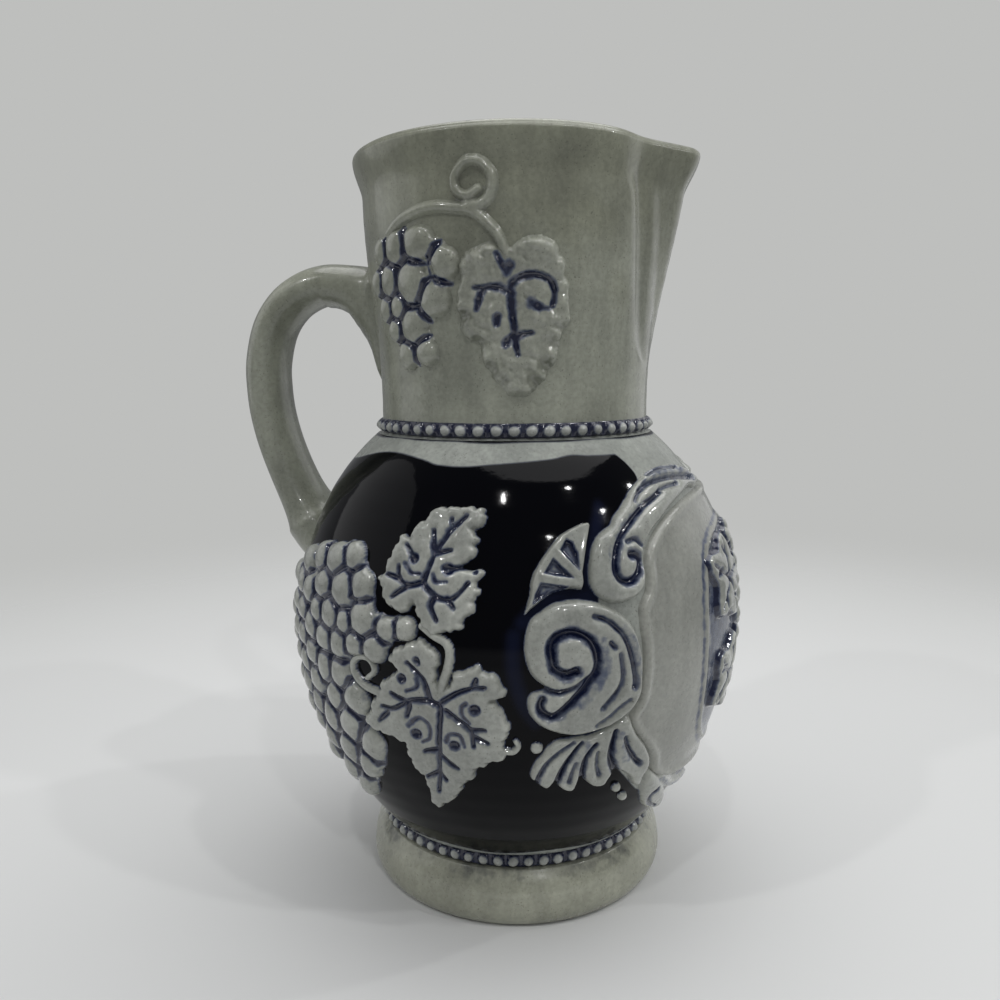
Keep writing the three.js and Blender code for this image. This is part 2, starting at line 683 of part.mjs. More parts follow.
function emblemGrapes() {
  const base = fieldRelief + seatGap;
  const clear = Object.values(emblemLeaves)
    .map((leaf) => ({ around: frontHub, outline: fiveLobes(leaf) }));
  return grapes(frontHub, emblemBunch, [5, 6], base + emblemRelief, { base, clear });
}

function bellyGrapes() {
  const clear = [
    { around: upperLeafHub, outline: upperLeaf },
    { around: lowerLeafHub, outline: lowerLeaf },
    { around: lowerLeafHub, outline: leafTendril },
  ];
  return grapes(bunchHub, bunch, [5, 6.6], grapeRelief, { clear });
}

function neckGrapes() {
  const clear = [
    { around: neckVineHub, outline: vineArch },
    { around: neckLeafHub, outline: neckLeaf },
  ];
  return grapes(neckGrapeHub, neckBunch, [6, 7.6], neckGrapeRelief, { clear });
}

const pitcher = new THREE.Group();

function addPiece(name, geometry, glaze) {
  geometry.computeVertexNormals();
  const material = new THREE.MeshStandardMaterial({ ...glazes[glaze], metalness: 0 });
  const mesh = new THREE.Mesh(geometry, material);
  mesh.name = name;
  pitcher.add(mesh);
}

addPiece('foot_ring', makeFootRing(), 'saltGrey');
addPiece('belly', makeBelly(), 'cobaltGround');
addPiece('neck', makeNeck(), 'saltGrey');
addPiece('handle', makeHandle(), 'handleGrey');
addPiece('neck_bead_band', makeBeadBand(neckBeads, seamHeight, neckFootRadius), 'beadBlue');
addPiece('foot_bead_band', makeBeadBand(footBeads, footBeadHeight, bellyFootRadius), 'beadBlue');
addPiece('medallion', medallion(), 'fieldGrey');
addPiece('emblem_grapes', emblemGrapes(), 'reliefGrey');
for (const [place, leaf] of Object.entries(emblemLeaves)) {
  addPiece(`emblem_leaf_${place}`, emblemLeaf(leaf), 'reliefGrey');
}

// Relief of one side, with its mirror image on the other
const sideRelief = {
  neck_vine: relief(neckVineHub, [vineArch, vineCurl], neckRelief),
  neck_grapes: neckGrapes(),
  neck_leaf: relief(neckLeafHub, [neckLeaf], neckRelief),
  upper_leaf: relief(upperLeafHub, [upperLeaf], leafRelief),
  lower_leaf: relief(lowerLeafHub, [lowerLeaf, leafStem, leafTendril, leafHook], leafRelief),
  grape_bunch: bellyGrapes(),
  fan: relief(cartoucheHub, [fan], scrollRelief, { grooves: fanOpenings }),
  upper_scroll: relief(cartoucheHub, [upperScroll], scrollRelief, {
    grooves: [strip(upperVolute, grooveWidth, grooveWidth, 10)],
  }),
  lower_scroll: relief(cartoucheHub, [lowerScroll], scrollRelief, {
    grooves: [strip(lowerVolute, grooveWidth, grooveWidth, 14)],
  }),
  palmette: relief(cartoucheHub, [palmette], palmetteRelief),
  scroll_knob: relief(cartoucheHub, [knob], scrollRelief),
  pearl: relief(cartoucheHub, [pearl], pearlRelief),
};
for (const [name, geometry] of Object.entries(sideRelief)) {
  addPiece(`right_${name}`, geometry, 'reliefGrey');
  addPiece(`left_${name}`, mirrored(geometry), 'reliefGrey');
}

export default pitcher;
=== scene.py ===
import math

import bpy
import numpy as np
from mathutils import Matrix, Vector


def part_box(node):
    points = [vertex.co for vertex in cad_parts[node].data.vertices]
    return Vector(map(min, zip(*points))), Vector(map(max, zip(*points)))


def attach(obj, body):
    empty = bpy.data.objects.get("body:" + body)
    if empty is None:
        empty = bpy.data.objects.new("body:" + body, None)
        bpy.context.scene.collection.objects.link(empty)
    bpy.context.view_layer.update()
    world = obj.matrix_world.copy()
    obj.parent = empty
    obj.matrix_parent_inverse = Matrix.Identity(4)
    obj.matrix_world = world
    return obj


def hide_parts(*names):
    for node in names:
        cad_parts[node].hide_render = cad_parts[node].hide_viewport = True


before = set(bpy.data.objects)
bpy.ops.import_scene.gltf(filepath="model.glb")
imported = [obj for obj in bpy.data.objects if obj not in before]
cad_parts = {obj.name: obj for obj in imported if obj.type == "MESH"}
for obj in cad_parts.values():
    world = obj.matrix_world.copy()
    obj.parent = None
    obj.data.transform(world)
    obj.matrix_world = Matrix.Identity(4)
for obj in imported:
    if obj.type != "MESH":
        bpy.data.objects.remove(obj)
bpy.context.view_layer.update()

# Everything is worked out in millimetres in the frame's own axes and turned into metres when a
# mesh is made. Angles are in degrees round the jug's axis, 0 at the spout, negative on the side
# that the camera sees. Relief is drawn on that side and mirrored to the other.
MM = 0.001


def size_of(node, corner, axis):
    """One side of a CAD piece's box: corner 0 is its low end, 1 its high end."""
    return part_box(node)[corner][axis] / MM


RIM = size_of("neck", 1, 2)
BELLY_RADIUS = size_of("belly", 1, 0)
BELLY_BOTTOM = size_of("belly", 0, 2)
FOOT_TOP = size_of("foot_ring", 1, 2)
FOOT_RADIUS = size_of("foot_ring", 1, 0)
WALL = 4.6                 # thickness of the thrown walls
FLOOR = 6.0                # thickness of the belly's floor
WIDEST = 82.0              # height of the belly's widest circle
WAIST = 20.4               # the belly starts here, over the foot beads
WAIST_RADIUS = 40.4        # wall behind the foot beads
COLLAR = 133.1             # the belly ends here, under the neck beads
SEAM = 135.5               # belly and neck meet here
NECK_RADIUS = 39.0         # wall behind the neck beads
NECK_TOP_RADIUS = 43.1
LEDGE = 1.5                # the wall steps in this far behind a bead band
NECK_EASE = (142.0, 198.0)     # the neck widens between these heights
LIP_FLARE = 2.5
LIP_HEIGHT = 10.5
LIP_ROUNDING = 1.5
BEAK_FOOT = 152.0          # lowest point of the pulled beak
BEAK_REACH = 6.6           # how far it passes the rim's circle
BEAK_APEX = 15.2           # how far its flanks would pass that circle if they met
BEAK_BLUNTING = 2.2
BEAK_HALF_ANGLE = 31.5
BEAK_PINCH = 2.5           # depth of the two creases that the fingers press beside it
CREASE_SPREAD = (5.0, 14.0)    # how wide a crease is under the rim and at the rim, in degrees
CREASE_OPENING = 16.0      # the creases open out over this height under the rim
CREASE_FOLD = 0.9          # softness of the fold between flank and crease
CREASE_EDGE = 6.0          # the beak ends this many degrees past its creases
PROFILE_STEP = 0.1
SHORT_EDGE = 1.4           # an edge of a leaf's outline up to this long has no tooth
LONG_EDGE = 2.6            # and from this length it has three


def ease(t):
    """A soft step from 0 to 1 while t goes from 0 to 1."""
    s = np.clip(t, 0.0, 1.0)
    return s * s * (3.0 - 2.0 * s)


def softly_larger(first, second, softness):
    """The larger of two sizes, rounded off where they are nearly equal."""
    share = np.clip(0.5 + 0.5 * (second - first) / softness, 0.0, 1.0)
    return first + (second - first) * share + softness * share * (1.0 - share)


def half_axis(distance, radius):
    """Half height of the ellipse that is BELLY_RADIUS wide and has this radius at this distance."""
    return distance / math.sqrt(1.0 - (radius / BELLY_RADIUS) ** 2)


REACH_UP = half_axis(COLLAR - WIDEST, NECK_RADIUS + LEDGE)
REACH_DOWN = half_axis(WIDEST - WAIST, WAIST_RADIUS + LEDGE)


def belly_radius(z):
    t = np.abs(z - WIDEST) / np.where(z < WIDEST, REACH_DOWN, REACH_UP)
    return BELLY_RADIUS * np.sqrt(np.maximum(0.0, 1.0 - t * t))


def neck_radius(z):
    widening = ease((z - NECK_EASE[0]) / (NECK_EASE[1] - NECK_EASE[0]))
    flare = ease((z - NECK_EASE[1]) / LIP_HEIGHT)
    return NECK_RADIUS + (NECK_TOP_RADIUS - NECK_RADIUS) * widening + LIP_FLARE * flare


def beaked_radius(z, angle):
    """Outer radius of the neck with its beak: straight flanks between two pressed-in creases."""
    plain = neck_radius(z)
    t = np.clip((z - BEAK_FOOT) / (RIM - BEAK_FOOT), 1e-4, 1.0)
    crease = BEAK_HALF_ANGLE * t ** 0.17
    growth = t ** 1.5
    off = np.abs(angle)
    under, at_rim = CREASE_SPREAD
    opening = ease((z - RIM + CREASE_OPENING) / CREASE_OPENING)
    spread = under + (at_rim - under) * opening
    press = BEAK_PINCH * t ** 0.5 * (1.0 - 0.2 * opening)
    pinched = plain - press * np.exp(-(((off - crease) / spread) ** 2))
    apex = plain + BEAK_APEX * growth
    turn = np.radians(crease)
    lean = (1.0 / (plain - press) - np.cos(turn) / apex) / np.sin(turn)
    flank = 1.0 / (np.cos(np.radians(off)) / apex + lean * np.sin(np.radians(off)))
    blunting = np.maximum(0.5, BEAK_BLUNTING * growth)
    tip = plain + BEAK_REACH * growth + blunting / 4.0
    mix = np.clip(0.5 + 0.5 * (tip - flank) / blunting, 0.0, 1.0)
    beak = tip * (1.0 - mix) + flank * mix - blunting * mix * (1.0 - mix)
    fold = CREASE_FOLD * t
    part = np.clip(0.5 + 0.5 * (beak - pinched) / np.maximum(fold, 1e-3), 0.0, 1.0)
    joined = pinched * (1.0 - part) + beak * part + fold * part * (1.0 - part)
    on_beak = (off < crease + CREASE_EDGE) & (z > BEAK_FOOT)
    return np.where(on_beak, np.maximum(joined, pinched), pinched)


def round_points(angle, radius, z):
    """Points in mm at angles round the jug's axis."""
    turn = np.radians(angle)
    return np.stack([radius * np.cos(turn), radius * np.sin(turn), z + 0.0 * turn], -1)


class Wall:
    """A turned wall that carries relief, with the length along its profile."""

    def __init__(self, radius_at, low, high):
        self.z = np.arange(low, high, PROFILE_STEP)
        self.r = radius_at(self.z)
        self.slope = np.gradient(self.r, self.z)
        steps = np.hypot(np.diff(self.z), np.diff(self.r))
        self.length = np.concatenate([[0.0], np.cumsum(steps)])

    def lifted(self, angle, z, lift):
        """Points that stand off the wall by the lift, square to it."""
        slope = np.interp(z, self.z, self.slope)
        normal = np.hypot(1.0, slope)
        radius = np.interp(z, self.z, self.r) + lift / normal
        return round_points(angle, radius, z - lift * slope / normal)


belly_wall = Wall(belly_radius, WAIST, COLLAR)
neck_wall = Wall(neck_radius, SEAM, RIM)


class Hub:
    """A place on a wall that relief is drawn from, in mm across and up along the wall."""

    def __init__(self, wall, angle, height):
        self.wall = wall
        self.angle = angle
        self.height = height

    def place(self, across, up):
        """Angle and height of a drawn place."""
        start = np.interp(self.height, self.wall.z, self.wall.length)
        z = np.interp(start + up, self.wall.length, self.wall.z)
        angle = self.angle + np.degrees(across / np.interp(z, self.wall.z, self.wall.r))
        return angle, z

    def on_wall(self, across, up, lift):
        angle, z = self.place(across, up)
        return self.wall.lifted(angle, z, lift)


# Meshes

def add_piece(name, points, faces, material, nodes, marks):
    """A smooth mesh object that rides on the body and stands for its CAD nodes.

    The marks are numbers at its points, which its material reads by name.
    """
    mesh = bpy.data.meshes.new(name)
    mesh.from_pydata((np.asarray(points) * MM).tolist(), [], list(faces))
    for mark, values in marks.items():
        layer = mesh.attributes.new(mark, "FLOAT", "POINT")
        layer.data.foreach_set("value", np.asarray(values, np.float32).ravel())
    mesh.shade_smooth()
    mesh.materials.append(material)
    piece = bpy.data.objects.new(name, mesh)
    bpy.context.scene.collection.objects.link(piece)
    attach(piece, "root")
    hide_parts(*nodes)


def ring_faces(rows, columns, closed_rows):
    """Quads between rings of points. The last ring joins the first when closed_rows is true."""
    bands = rows if closed_rows else rows - 1
    i, j = np.meshgrid(np.arange(bands), np.arange(columns), indexing="ij")
    k = (j + 1) % columns
    up = (i + 1) % rows
    quads = [i * columns + j, i * columns + k, up * columns + k, up * columns + j]
    return np.stack(quads, -1).reshape(-1, 4)


def skin(front, back, cells, flip):
    """Closed body between two grids of points, over the cells that are kept."""
    rows, columns = cells.shape[0] + 1, cells.shape[1] + 1
    number = np.arange(rows * columns).reshape(rows, columns)
    corner = [number[:-1, :-1], number[:-1, 1:], number[1:, 1:], number[1:, :-1]]
    top = np.stack([c[cells] for c in corner], -1)
    under = top[:, ::-1] + rows * columns
    padded = np.pad(cells, 1)
    sides = []
    beside = [padded[:-2, 1:-1], padded[1:-1, 2:], padded[2:, 1:-1], padded[1:-1, :-2]]
    for side, neighbour in enumerate(beside):
        open_edge = cells & ~neighbour
        a = corner[side][open_edge]
        b = corner[(side + 1) % 4][open_edge]
        sides.append(np.stack([b, a, a + rows * columns, b + rows * columns], -1))
    faces = np.concatenate([top, under, *sides])
    used, faces = np.unique(faces, return_inverse=True)
    faces = faces.reshape(-1, 4)
    if flip:
        faces = faces[:, ::-1]
    points = np.concatenate([front.reshape(-1, 3), back.reshape(-1, 3)])
    return points[used], faces, used


# Drawing on a patch of wall

SQUARENESS = 2.2           # outline of a grape between an ellipse (2) and a rectangle
STEP = 0.32                # mesh of the relief in mm,
FINE_STEP = 0.28           # finer where the forms are small
PEARL_STEP = 0.25
BUNCH_STEP = 0.36          # and wider on the largest pieces
FIELD_STEP = 0.5


def distance_to(line, x, y, width_from=1.0, width_to=1.0):
    """Distance to a line of points, in widths that change evenly from its start to its end."""
    line = np.asarray(line, float)
    lengths = np.hypot(*np.diff(line, axis=0).T)
    along = np.concatenate([[0.0], np.cumsum(lengths)]) / max(lengths.sum(), 1e-9)
    best = np.full(x.shape, 1e9)
    for (ax, ay), (bx, by), s0, s1 in zip(line[:-1], line[1:], along[:-1], along[1:]):
        dx, dy = bx - ax, by - ay
        t = np.clip(((x - ax) * dx + (y - ay) * dy) / max(dx * dx + dy * dy, 1e-12), 0.0, 1.0)
        share = s0 + (s1 - s0) * t
        width = width_from + (width_to - width_from) * share
        best = np.minimum(best, np.hypot(x - ax - t * dx, y - ay - t * dy) / width)
    return best


def depth_inside(outline, x, y):
    """Distance to a closed outline, positive inside it."""
    outline = np.asarray(outline, float)
    closed = np.vstack([outline, outline[:1]])
    odd = np.zeros(x.shape, bool)
    for (ax, ay), (bx, by) in zip(closed[:-1], closed[1:]):
        if ay == by:
            continue
        crosses = (ay > y) != (by > y)
        odd ^= crosses & (x < (bx - ax) * (y - ay) / (by - ay) + ax)
    distance = distance_to(closed, x, y)
    return np.where(odd, distance, -distance)


def curved(points, closed=False, steps=5):
    """A smooth line through a few points."""
    p = np.asarray(points, float)
    if closed:
        p = np.vstack([p[-1], p, p[0], p[1]])
    else:
        p = np.vstack([2 * p[0] - p[1], p, 2 * p[-1] - p[-2]])
    pieces = []
    for a, b, c, d in zip(p[:-3], p[1:-2], p[2:-1], p[3:]):
        for t in np.arange(steps) / steps:
            pieces.append(0.5 * (2 * b + (c - a) * t + (2 * a - 5 * b + 4 * c - d) * t ** 2
                                 + (3 * b - a - 3 * c + d) * t ** 3))
    if not closed:
        pieces.append(p[-2])
    return np.array(pieces)


def toothed(outline, amount, seed):
    """An outline with small uneven teeth between its points."""
    rng = np.random.default_rng(seed)
    outline = np.asarray(outline, float)
    following = np.roll(outline, -1, axis=0)
    points = []
    for a, b in zip(outline, following):
        points.append(a)
        length = math.dist(a, b)
        if length > SHORT_EDGE:
            out = np.array([b[1] - a[1], a[0] - b[0]]) / length
            count = 1 if length < LONG_EDGE else 3
            for tooth in range(count):
                share = (tooth + rng.uniform(0.7, 1.3)) / (count + 1)
                way = rng.uniform(-1.0, -0.2) if tooth % 2 == 0 else rng.uniform(0.2, 0.8)
                points.append(a + (b - a) * share + out * amount * way)
    return np.array(points)


def ripple(x, y, size, seed):
    """Gentle unevenness of hand-pressed clay, about -1 to 1."""
    rng = np.random.default_rng(seed)
    total = np.zeros(x.shape)
    for octave in range(3):
        for _ in range(5):
            turn, phase = rng.uniform(0.0, 2.0 * math.pi, 2)
            wave = 2.0 * math.pi * (octave + 1) / size * rng.uniform(0.7, 1.3)
            total += np.sin(wave * (x * math.cos(turn) + y * math.sin(turn)) + phase) / (octave + 1)
    return total / 5.0


def blurred(field, passes):
    """A field of heights smoothed by its neighbours, so many times over."""
    for _ in range(passes):
        for axis in (0, 1):
            field = 0.25 * np.roll(field, 1, axis) + 0.5 * field + 0.25 * np.roll(field, -1, axis)
    return field


class Patch:
    """Relief drawn on a patch of wall, on a grid of places across and up from its hub.

    Height is measured from the wall, and where nothing is drawn it lies sunk in the wall. The
    groove is cut from it at the end. The wash is cobalt, and the shade is painted shade at spots
    where the real forms fall into shadow.
    """

    def __init__(self, hub, box, step=STEP, sunk=0.7):
        self.hub = hub
        self.sunk = sunk
        left, low, right, high = box
        across, up = np.arange(left, right + step, step), np.arange(low, high + step, step)
        self.x, self.y = np.meshgrid(across, up)
        self.height = np.full(self.x.shape, -sunk)
        self.wash, self.groove, self.shade = np.zeros((3, *self.x.shape))

    def raise_form(self, outline, height, lines, crown, reach, shoulder):
        """A cut-out that swells by its crown between the lines drawn on it."""
        depth = depth_inside(outline, self.x, self.y)
        room = depth
        for line in lines:
            room = np.minimum(room, distance_to(line, self.x, self.y))
        cushion = 1.0 - (1.0 - np.clip(room / reach, 0.0, 1.0)) ** 2
        flat = height - crown + crown * cushion
        shape = -self.sunk + (flat + self.sunk) * ease((depth + 0.45 * shoulder) / shoulder)
        self.height = np.maximum(self.height, shape)

    def raise_cords(self, cords):
        """Rounded cords of clay: points, width at the start and at the end, height."""
        for points, width_from, width_to, height in cords:
            ratio = self.ratio_to(curved(points), width_from, width_to)
            body = np.sqrt(np.clip(1.0 - ratio * ratio, 0.0, 1.0))
            shape = np.where(ratio < 1.0, height * body, -self.sunk * ease((ratio - 1.0) / 0.8))
            self.height = np.maximum(self.height, shape)

    def ratio_to(self, line, width_from, width_to):
        """Distance to a tapering line as a share of half its width: 1 at its edge."""
        return distance_to(line, self.x, self.y, width_from / 2.0, width_to / 2.0)

    def cut(self, line, width_from, width_to, depth, wash=1.0):
        """A tapering groove with cobalt lying in it and run a little over its edges."""
        ratio = self.ratio_to(line, width_from, width_to)
        self.groove = np.maximum(self.groove, depth * ease((1.5 - ratio) / 1.3))
        self.wash = np.maximum(self.wash, wash * ease((2.2 - ratio) / 2.0))

    def tint(self, line, width_from, width_to, wash):
        """A thin brushed wash of cobalt over the clay."""
        ratio = self.ratio_to(line, width_from, width_to)
        self.wash = np.maximum(self.wash, wash * ease((1.25 - ratio) / 0.9))

    def drill(self, x, y, radius):
        """A small round eye, as deep as a millimetre."""
        ratio = np.hypot(self.x - x, self.y - y) / radius
        self.groove = np.maximum(self.groove, ease((1.6 - ratio) / 1.2))
        self.wash = np.maximum(self.wash, ease((1.9 - ratio) / 1.1))

    def nearness(self, x, y, radius):
        """1 at a spot, fading softly with the distance from it."""
        off = np.hypot(self.x - x, self.y - y) / radius
        return np.exp(-off ** 2)

    def swell(self, spots, radius, height):
        """Soft lumps at a few spots, or dents where the height is below zero."""
        for x, y in spots:
            on_form = self.height > 0.1 - self.sunk
            self.height += np.where(on_form, height * self.nearness(x, y, radius), 0.0)

    def darken(self, spots, radius, amount):
        """Painted shade at a few spots, where notches fall into shadow."""
        for x, y in spots:
            self.shade = np.maximum(self.shade, amount * self.nearness(x, y, radius))

    def ring(self, x, y, half_width, half_height, height):
        """A soft raised ring, as round an eye."""
        ratio = np.hypot((self.x - x) / half_width, (self.y - y) / half_height)
        self.height += height * np.exp(-((ratio - 1.0) / 0.28) ** 2)

    def roughen(self, size, amount, seed):
        """Hand-pressed unevenness on what is raised."""
        lifted = ease((self.height + self.sunk) / 1.2)
        self.height += lifted * amount * ripple(self.x, self.y, size, seed)

    def melt(self, passes):
        """Rounds every edge off, as the glaze and the worn mould do."""
        self.height = blurred(self.height, passes)

    def stain_foot(self, height=0.8):
        """Cobalt of the ground that climbs the foot of the relief, where there is ground."""
        beside_ground = ease(ground_depth(*self.hub.place(self.x, self.y)) / 1.5 + 0.7)
        foot = ease(1.0 - self.height / height)
        self.wash = np.maximum(self.wash, foot * beside_ground)

    def make(self, name, slot="relief_glaze", both_sides=True):
        """Cuts the grooves and makes the closed mesh, on the photographed side and its mirror image."""
        cut_down = self.height - blurred(self.groove, 1)
        on_form = self.height > 0.2
        self.height = np.where(on_form, np.maximum(cut_down, 0.15), cut_down)
        hollow = blurred(self.height, 12) - self.height
        cover = self.height > -self.sunk + 0.02
        cells = cover[:-1, :-1] | cover[1:, :-1] | cover[:-1, 1:] | cover[1:, 1:]
        front = self.hub.on_wall(self.x, self.y, self.height)
        back = self.hub.on_wall(self.x, self.y, np.full(self.x.shape, -self.sunk - 0.5))
        wash = np.tile(self.wash.ravel(), 2)
        # The pool mark is positive in hollows and at the shade spots, where the material paints shade over
        # the glaze gathered there, and negative on crests, where it paints a highlight.
        pool = np.tile(np.clip((hollow / 0.5 + self.shade).ravel(), -1.0, 1.0), 2)
        for side in ("right", "left") if both_sides else ("",):
            mirror = np.array([1.0, -1.0, 1.0]) if side == "left" else np.ones(3)
            points, faces, used = skin(front * mirror, back * mirror, cells, side == "left")
            node_name = f"{side}_{name}" if side else name
            marks = {"wash": wash[used], "pool": pool[used]}
            add_piece(f"{node_name}_clay", points, faces, RELIEF_GLAZES[slot], [node_name], marks)

    def domes(self, centres, height, valley, outer_wash=0.0):
        """Grapes (x, y, half width, half height, turn) with cobalt between them.

        Where they crowd, each swells or gives way until it touches its neighbour halfway.
        """
        nearest = np.full(self.x.shape, 9.0)
        second = nearest.copy()
        for x, y, half_width, half_height, turn in centres:
            c, s = math.cos(math.radians(turn)), math.sin(math.radians(turn))
            dx, dy = self.x - x, self.y - y
            across = np.abs((dx * c + dy * s) / half_width)
            along = np.abs((dy * c - dx * s) / half_height)
            ratio = (across ** SQUARENESS + along ** SQUARENESS) ** (1 / SQUARENESS)
            second = np.minimum(second, np.maximum(nearest, ratio))
            nearest = np.minimum(nearest, ratio)
        crowded = ease((1.8 - second) / 0.4)
        middle = 0.5 * (nearest + second)
        share = nearest / (1.0 + crowded * (np.clip(middle, 0.85, 1.12) - 1.0))
        floor = nearest / (1.0 + crowded * (np.clip(middle, 0.85, 1.4) - 1.0))
        top = (height - valley) * np.sqrt(np.clip(1.0 - share ** 2.0, 0.0, 1.0))
        shape = -self.sunk + (valley + self.sunk) * ease((1.16 - floor) / 0.14) + top
        self.height = np.maximum(self.height, shape)
        in_valley = ease((share - 0.70) / 0.16)
        beside_two = ease((1.6 - second) / 0.3)
        self.wash = np.maximum(self.wash, in_valley * np.maximum(beside_two, outer_wash))


# Materials

def new_group(name, inputs, outputs):
    """An empty node group with its sockets, and the nodes at its two ends."""
    group = bpy.data.node_groups.new(name, "ShaderNodeTree")
    for label, kind, value in inputs:
        socket = group.interface.new_socket(label, in_out="INPUT", socket_type=kind)
        if value is not None:
            socket.default_value = value
    for label, kind in outputs:
        group.interface.new_socket(label, in_out="OUTPUT", socket_type=kind)
    return group, group.nodes.new("NodeGroupInput"), group.nodes.new("NodeGroupOutput")


def set_or_link(tree, made, sockets):
    """Gives each socket of a node its number or colour, or the link that it is fed by."""
    for socket, source in sockets.items():
        if isinstance(source, (tuple, float)):
            made.inputs[socket].default_value = source
        else:
            tree.links.new(source, made.inputs[socket])


def node(tree, kind, sockets, **settings):
    """A shader node with its settings, and what goes into its sockets."""
    made = tree.nodes.new(kind)
    for name, setting in settings.items():
        setattr(made, name, setting)
    set_or_link(tree, made, sockets)
    return made


def between(tree, value, low, high, to_low=0.0, to_high=1.0):
    """A soft step from one number to another while the value goes from low to high."""
    sockets = {0: value, 1: low, 2: high, 3: to_low, 4: to_high}
    return node(tree, "ShaderNodeMapRange", sockets, interpolation_type="SMOOTHSTEP").outputs[0]


def blend_colours(tree, share, first, second, way="MIX"):
    sockets = {0: share, 6: first, 7: second}
    return node(tree, "ShaderNodeMix", sockets, data_type="RGBA", blend_type=way).outputs[2]


def tinted(tree, colour, tint):
    """A colour multiplied by a tint, or by a grey pattern."""
    return blend_colours(tree, 1.0, colour, tint, "MULTIPLY")


def sums(tree, way, first, second):
    return node(tree, "ShaderNodeMath", {0: first, 1: second}, operation=way).outputs[0]


def noise(tree, place, scale, detail, roughness=0.5):
    sockets = {"Vector": place, "Scale": scale, "Detail": detail, "Roughness": roughness}
    return node(tree, "ShaderNodeTexNoise", sockets).outputs["Fac"]


def marked(tree, mark):
    """The numbers that a mesh carries under this name."""
    return node(tree, "ShaderNodeAttribute", {}, attribute_name=mark).outputs["Fac"]


# How fine each unevenness of the glaze is: waves of its noise in a metre
CLOUDS = 46.0
SMOKE_EDGE = 60.0
RUNS = 210.0
GRAIN = 900.0
SPECKS = 2300.0
SPECK_PATCHES = 120.0
COARSE_PEEL = 620.0
FINE_PEEL = 1700.0
SHEEN = 240.0
RAGGED_WASH = 420.0

SMOKED = (0.66, 0.65, 0.54, 1.0)       # tints of the clay where smoke has caught it, in a hollow, where glaze gathers, with painted shade, and on a crest, where it is thin, with a painted highlight
POOLED_AND_SHADED = (0.50, 0.51, 0.47, 1.0)       # where glaze has gathered in a hollow
THIN_AND_HIGHLIT = (1.32, 1.31, 1.29, 1.0)         # and where it is thin on a crest
IRON = (0.05, 0.043, 0.032, 1.0)
DRAWN_DOWN = (1.0, 1.0, 0.12)          # stretches a pattern upright into runs
COAT_ROUGHNESS = 0.07


def make_salt_skin():
    """Skin of a salt glaze: clouded colour, dark iron specks, orange peel and its gloss."""
    group, given, out = new_group(
        "salt skin",
        [("Pale clay", "NodeSocketColor", None), ("Deep clay", "NodeSocketColor", None),
         ("Specks", "NodeSocketFloat", 0.5), ("Gloss", "NodeSocketFloat", 0.25),
         ("Smoke from", "NodeSocketFloat", 1.0), ("Hollow shade and crest light", "NodeSocketFloat", 0.0)],
        [("Colour", "NodeSocketColor"), ("Roughness", "NodeSocketFloat"), ("Peel", "NodeSocketFloat")])
    place = node(group, "ShaderNodeTexCoord", {}).outputs["Object"]
    clouds = between(group, noise(group, place, CLOUDS, 4.0), 0.34, 0.66)
    colour = blend_colours(group, clouds, given.outputs["Deep clay"], given.outputs["Pale clay"])

    height = node(group, "ShaderNodeSeparateXYZ", {0: place}).outputs["Z"]
    above = sums(group, "SUBTRACT", height, given.outputs["Smoke from"])
    drift = between(group, noise(group, place, SMOKE_EDGE, 3.0), 0.3, 0.7, -0.012, 0.012)
    smoke = between(group, sums(group, "ADD", above, drift), 0.0, 0.045, 0.0, 0.55)
    colour = blend_colours(group, smoke, colour, tinted(group, colour, SMOKED))

    grain = between(group, noise(group, place, GRAIN, 3.0), 0.3, 0.7, 0.90, 1.08)
    colour = tinted(group, colour, grain)
    drawn_down = node(group, "ShaderNodeVectorMath", {0: place, 1: DRAWN_DOWN}, operation="MULTIPLY")
    run_field = noise(group, drawn_down.outputs["Vector"], RUNS, 3.0, 0.6)
    colour = tinted(group, colour, between(group, run_field, 0.3, 0.7, 0.90, 1.08))

    # Painted shade in hollows, over the glaze that gathers there.
    hollow = between(group, given.outputs["Hollow shade and crest light"], 0.0, 0.9, 0.0, 0.75)
    colour = blend_colours(group, hollow, colour, tinted(group, colour, POOLED_AND_SHADED))
    # Painted highlight on crests, where the glaze is also thin.
    crest = between(group, given.outputs["Hollow shade and crest light"], -0.7, -0.05, 0.35, 0.0)
    colour = blend_colours(group, crest, colour, tinted(group, colour, THIN_AND_HIGHLIT))

    speck_field = noise(group, place, SPECKS, 0.0)
    patches = between(group, noise(group, place, SPECK_PATCHES, 2.0), 0.3, 0.7, 0.80, 0.73)
    more_specks = sums(group, "MULTIPLY", given.outputs["Specks"], 0.05)
    over = sums(group, "SUBTRACT", speck_field, sums(group, "SUBTRACT", patches, more_specks))
    colour = blend_colours(group, between(group, over, 0.0, 0.07, 0.0, 0.45), colour, IRON)

    coarse = noise(group, place, COARSE_PEEL, 1.0, 0.4)
    fine = sums(group, "MULTIPLY", noise(group, place, FINE_PEEL, 2.0), 0.6)
    sheen = between(group, noise(group, place, SHEEN, 3.0), 0.3, 0.7, -0.05, 0.08)
    group.links.new(colour, out.inputs["Colour"])
    group.links.new(sums(group, "ADD", given.outputs["Gloss"], sheen), out.inputs["Roughness"])
    group.links.new(sums(group, "ADD", coarse, fine), out.inputs["Peel"])
    return group


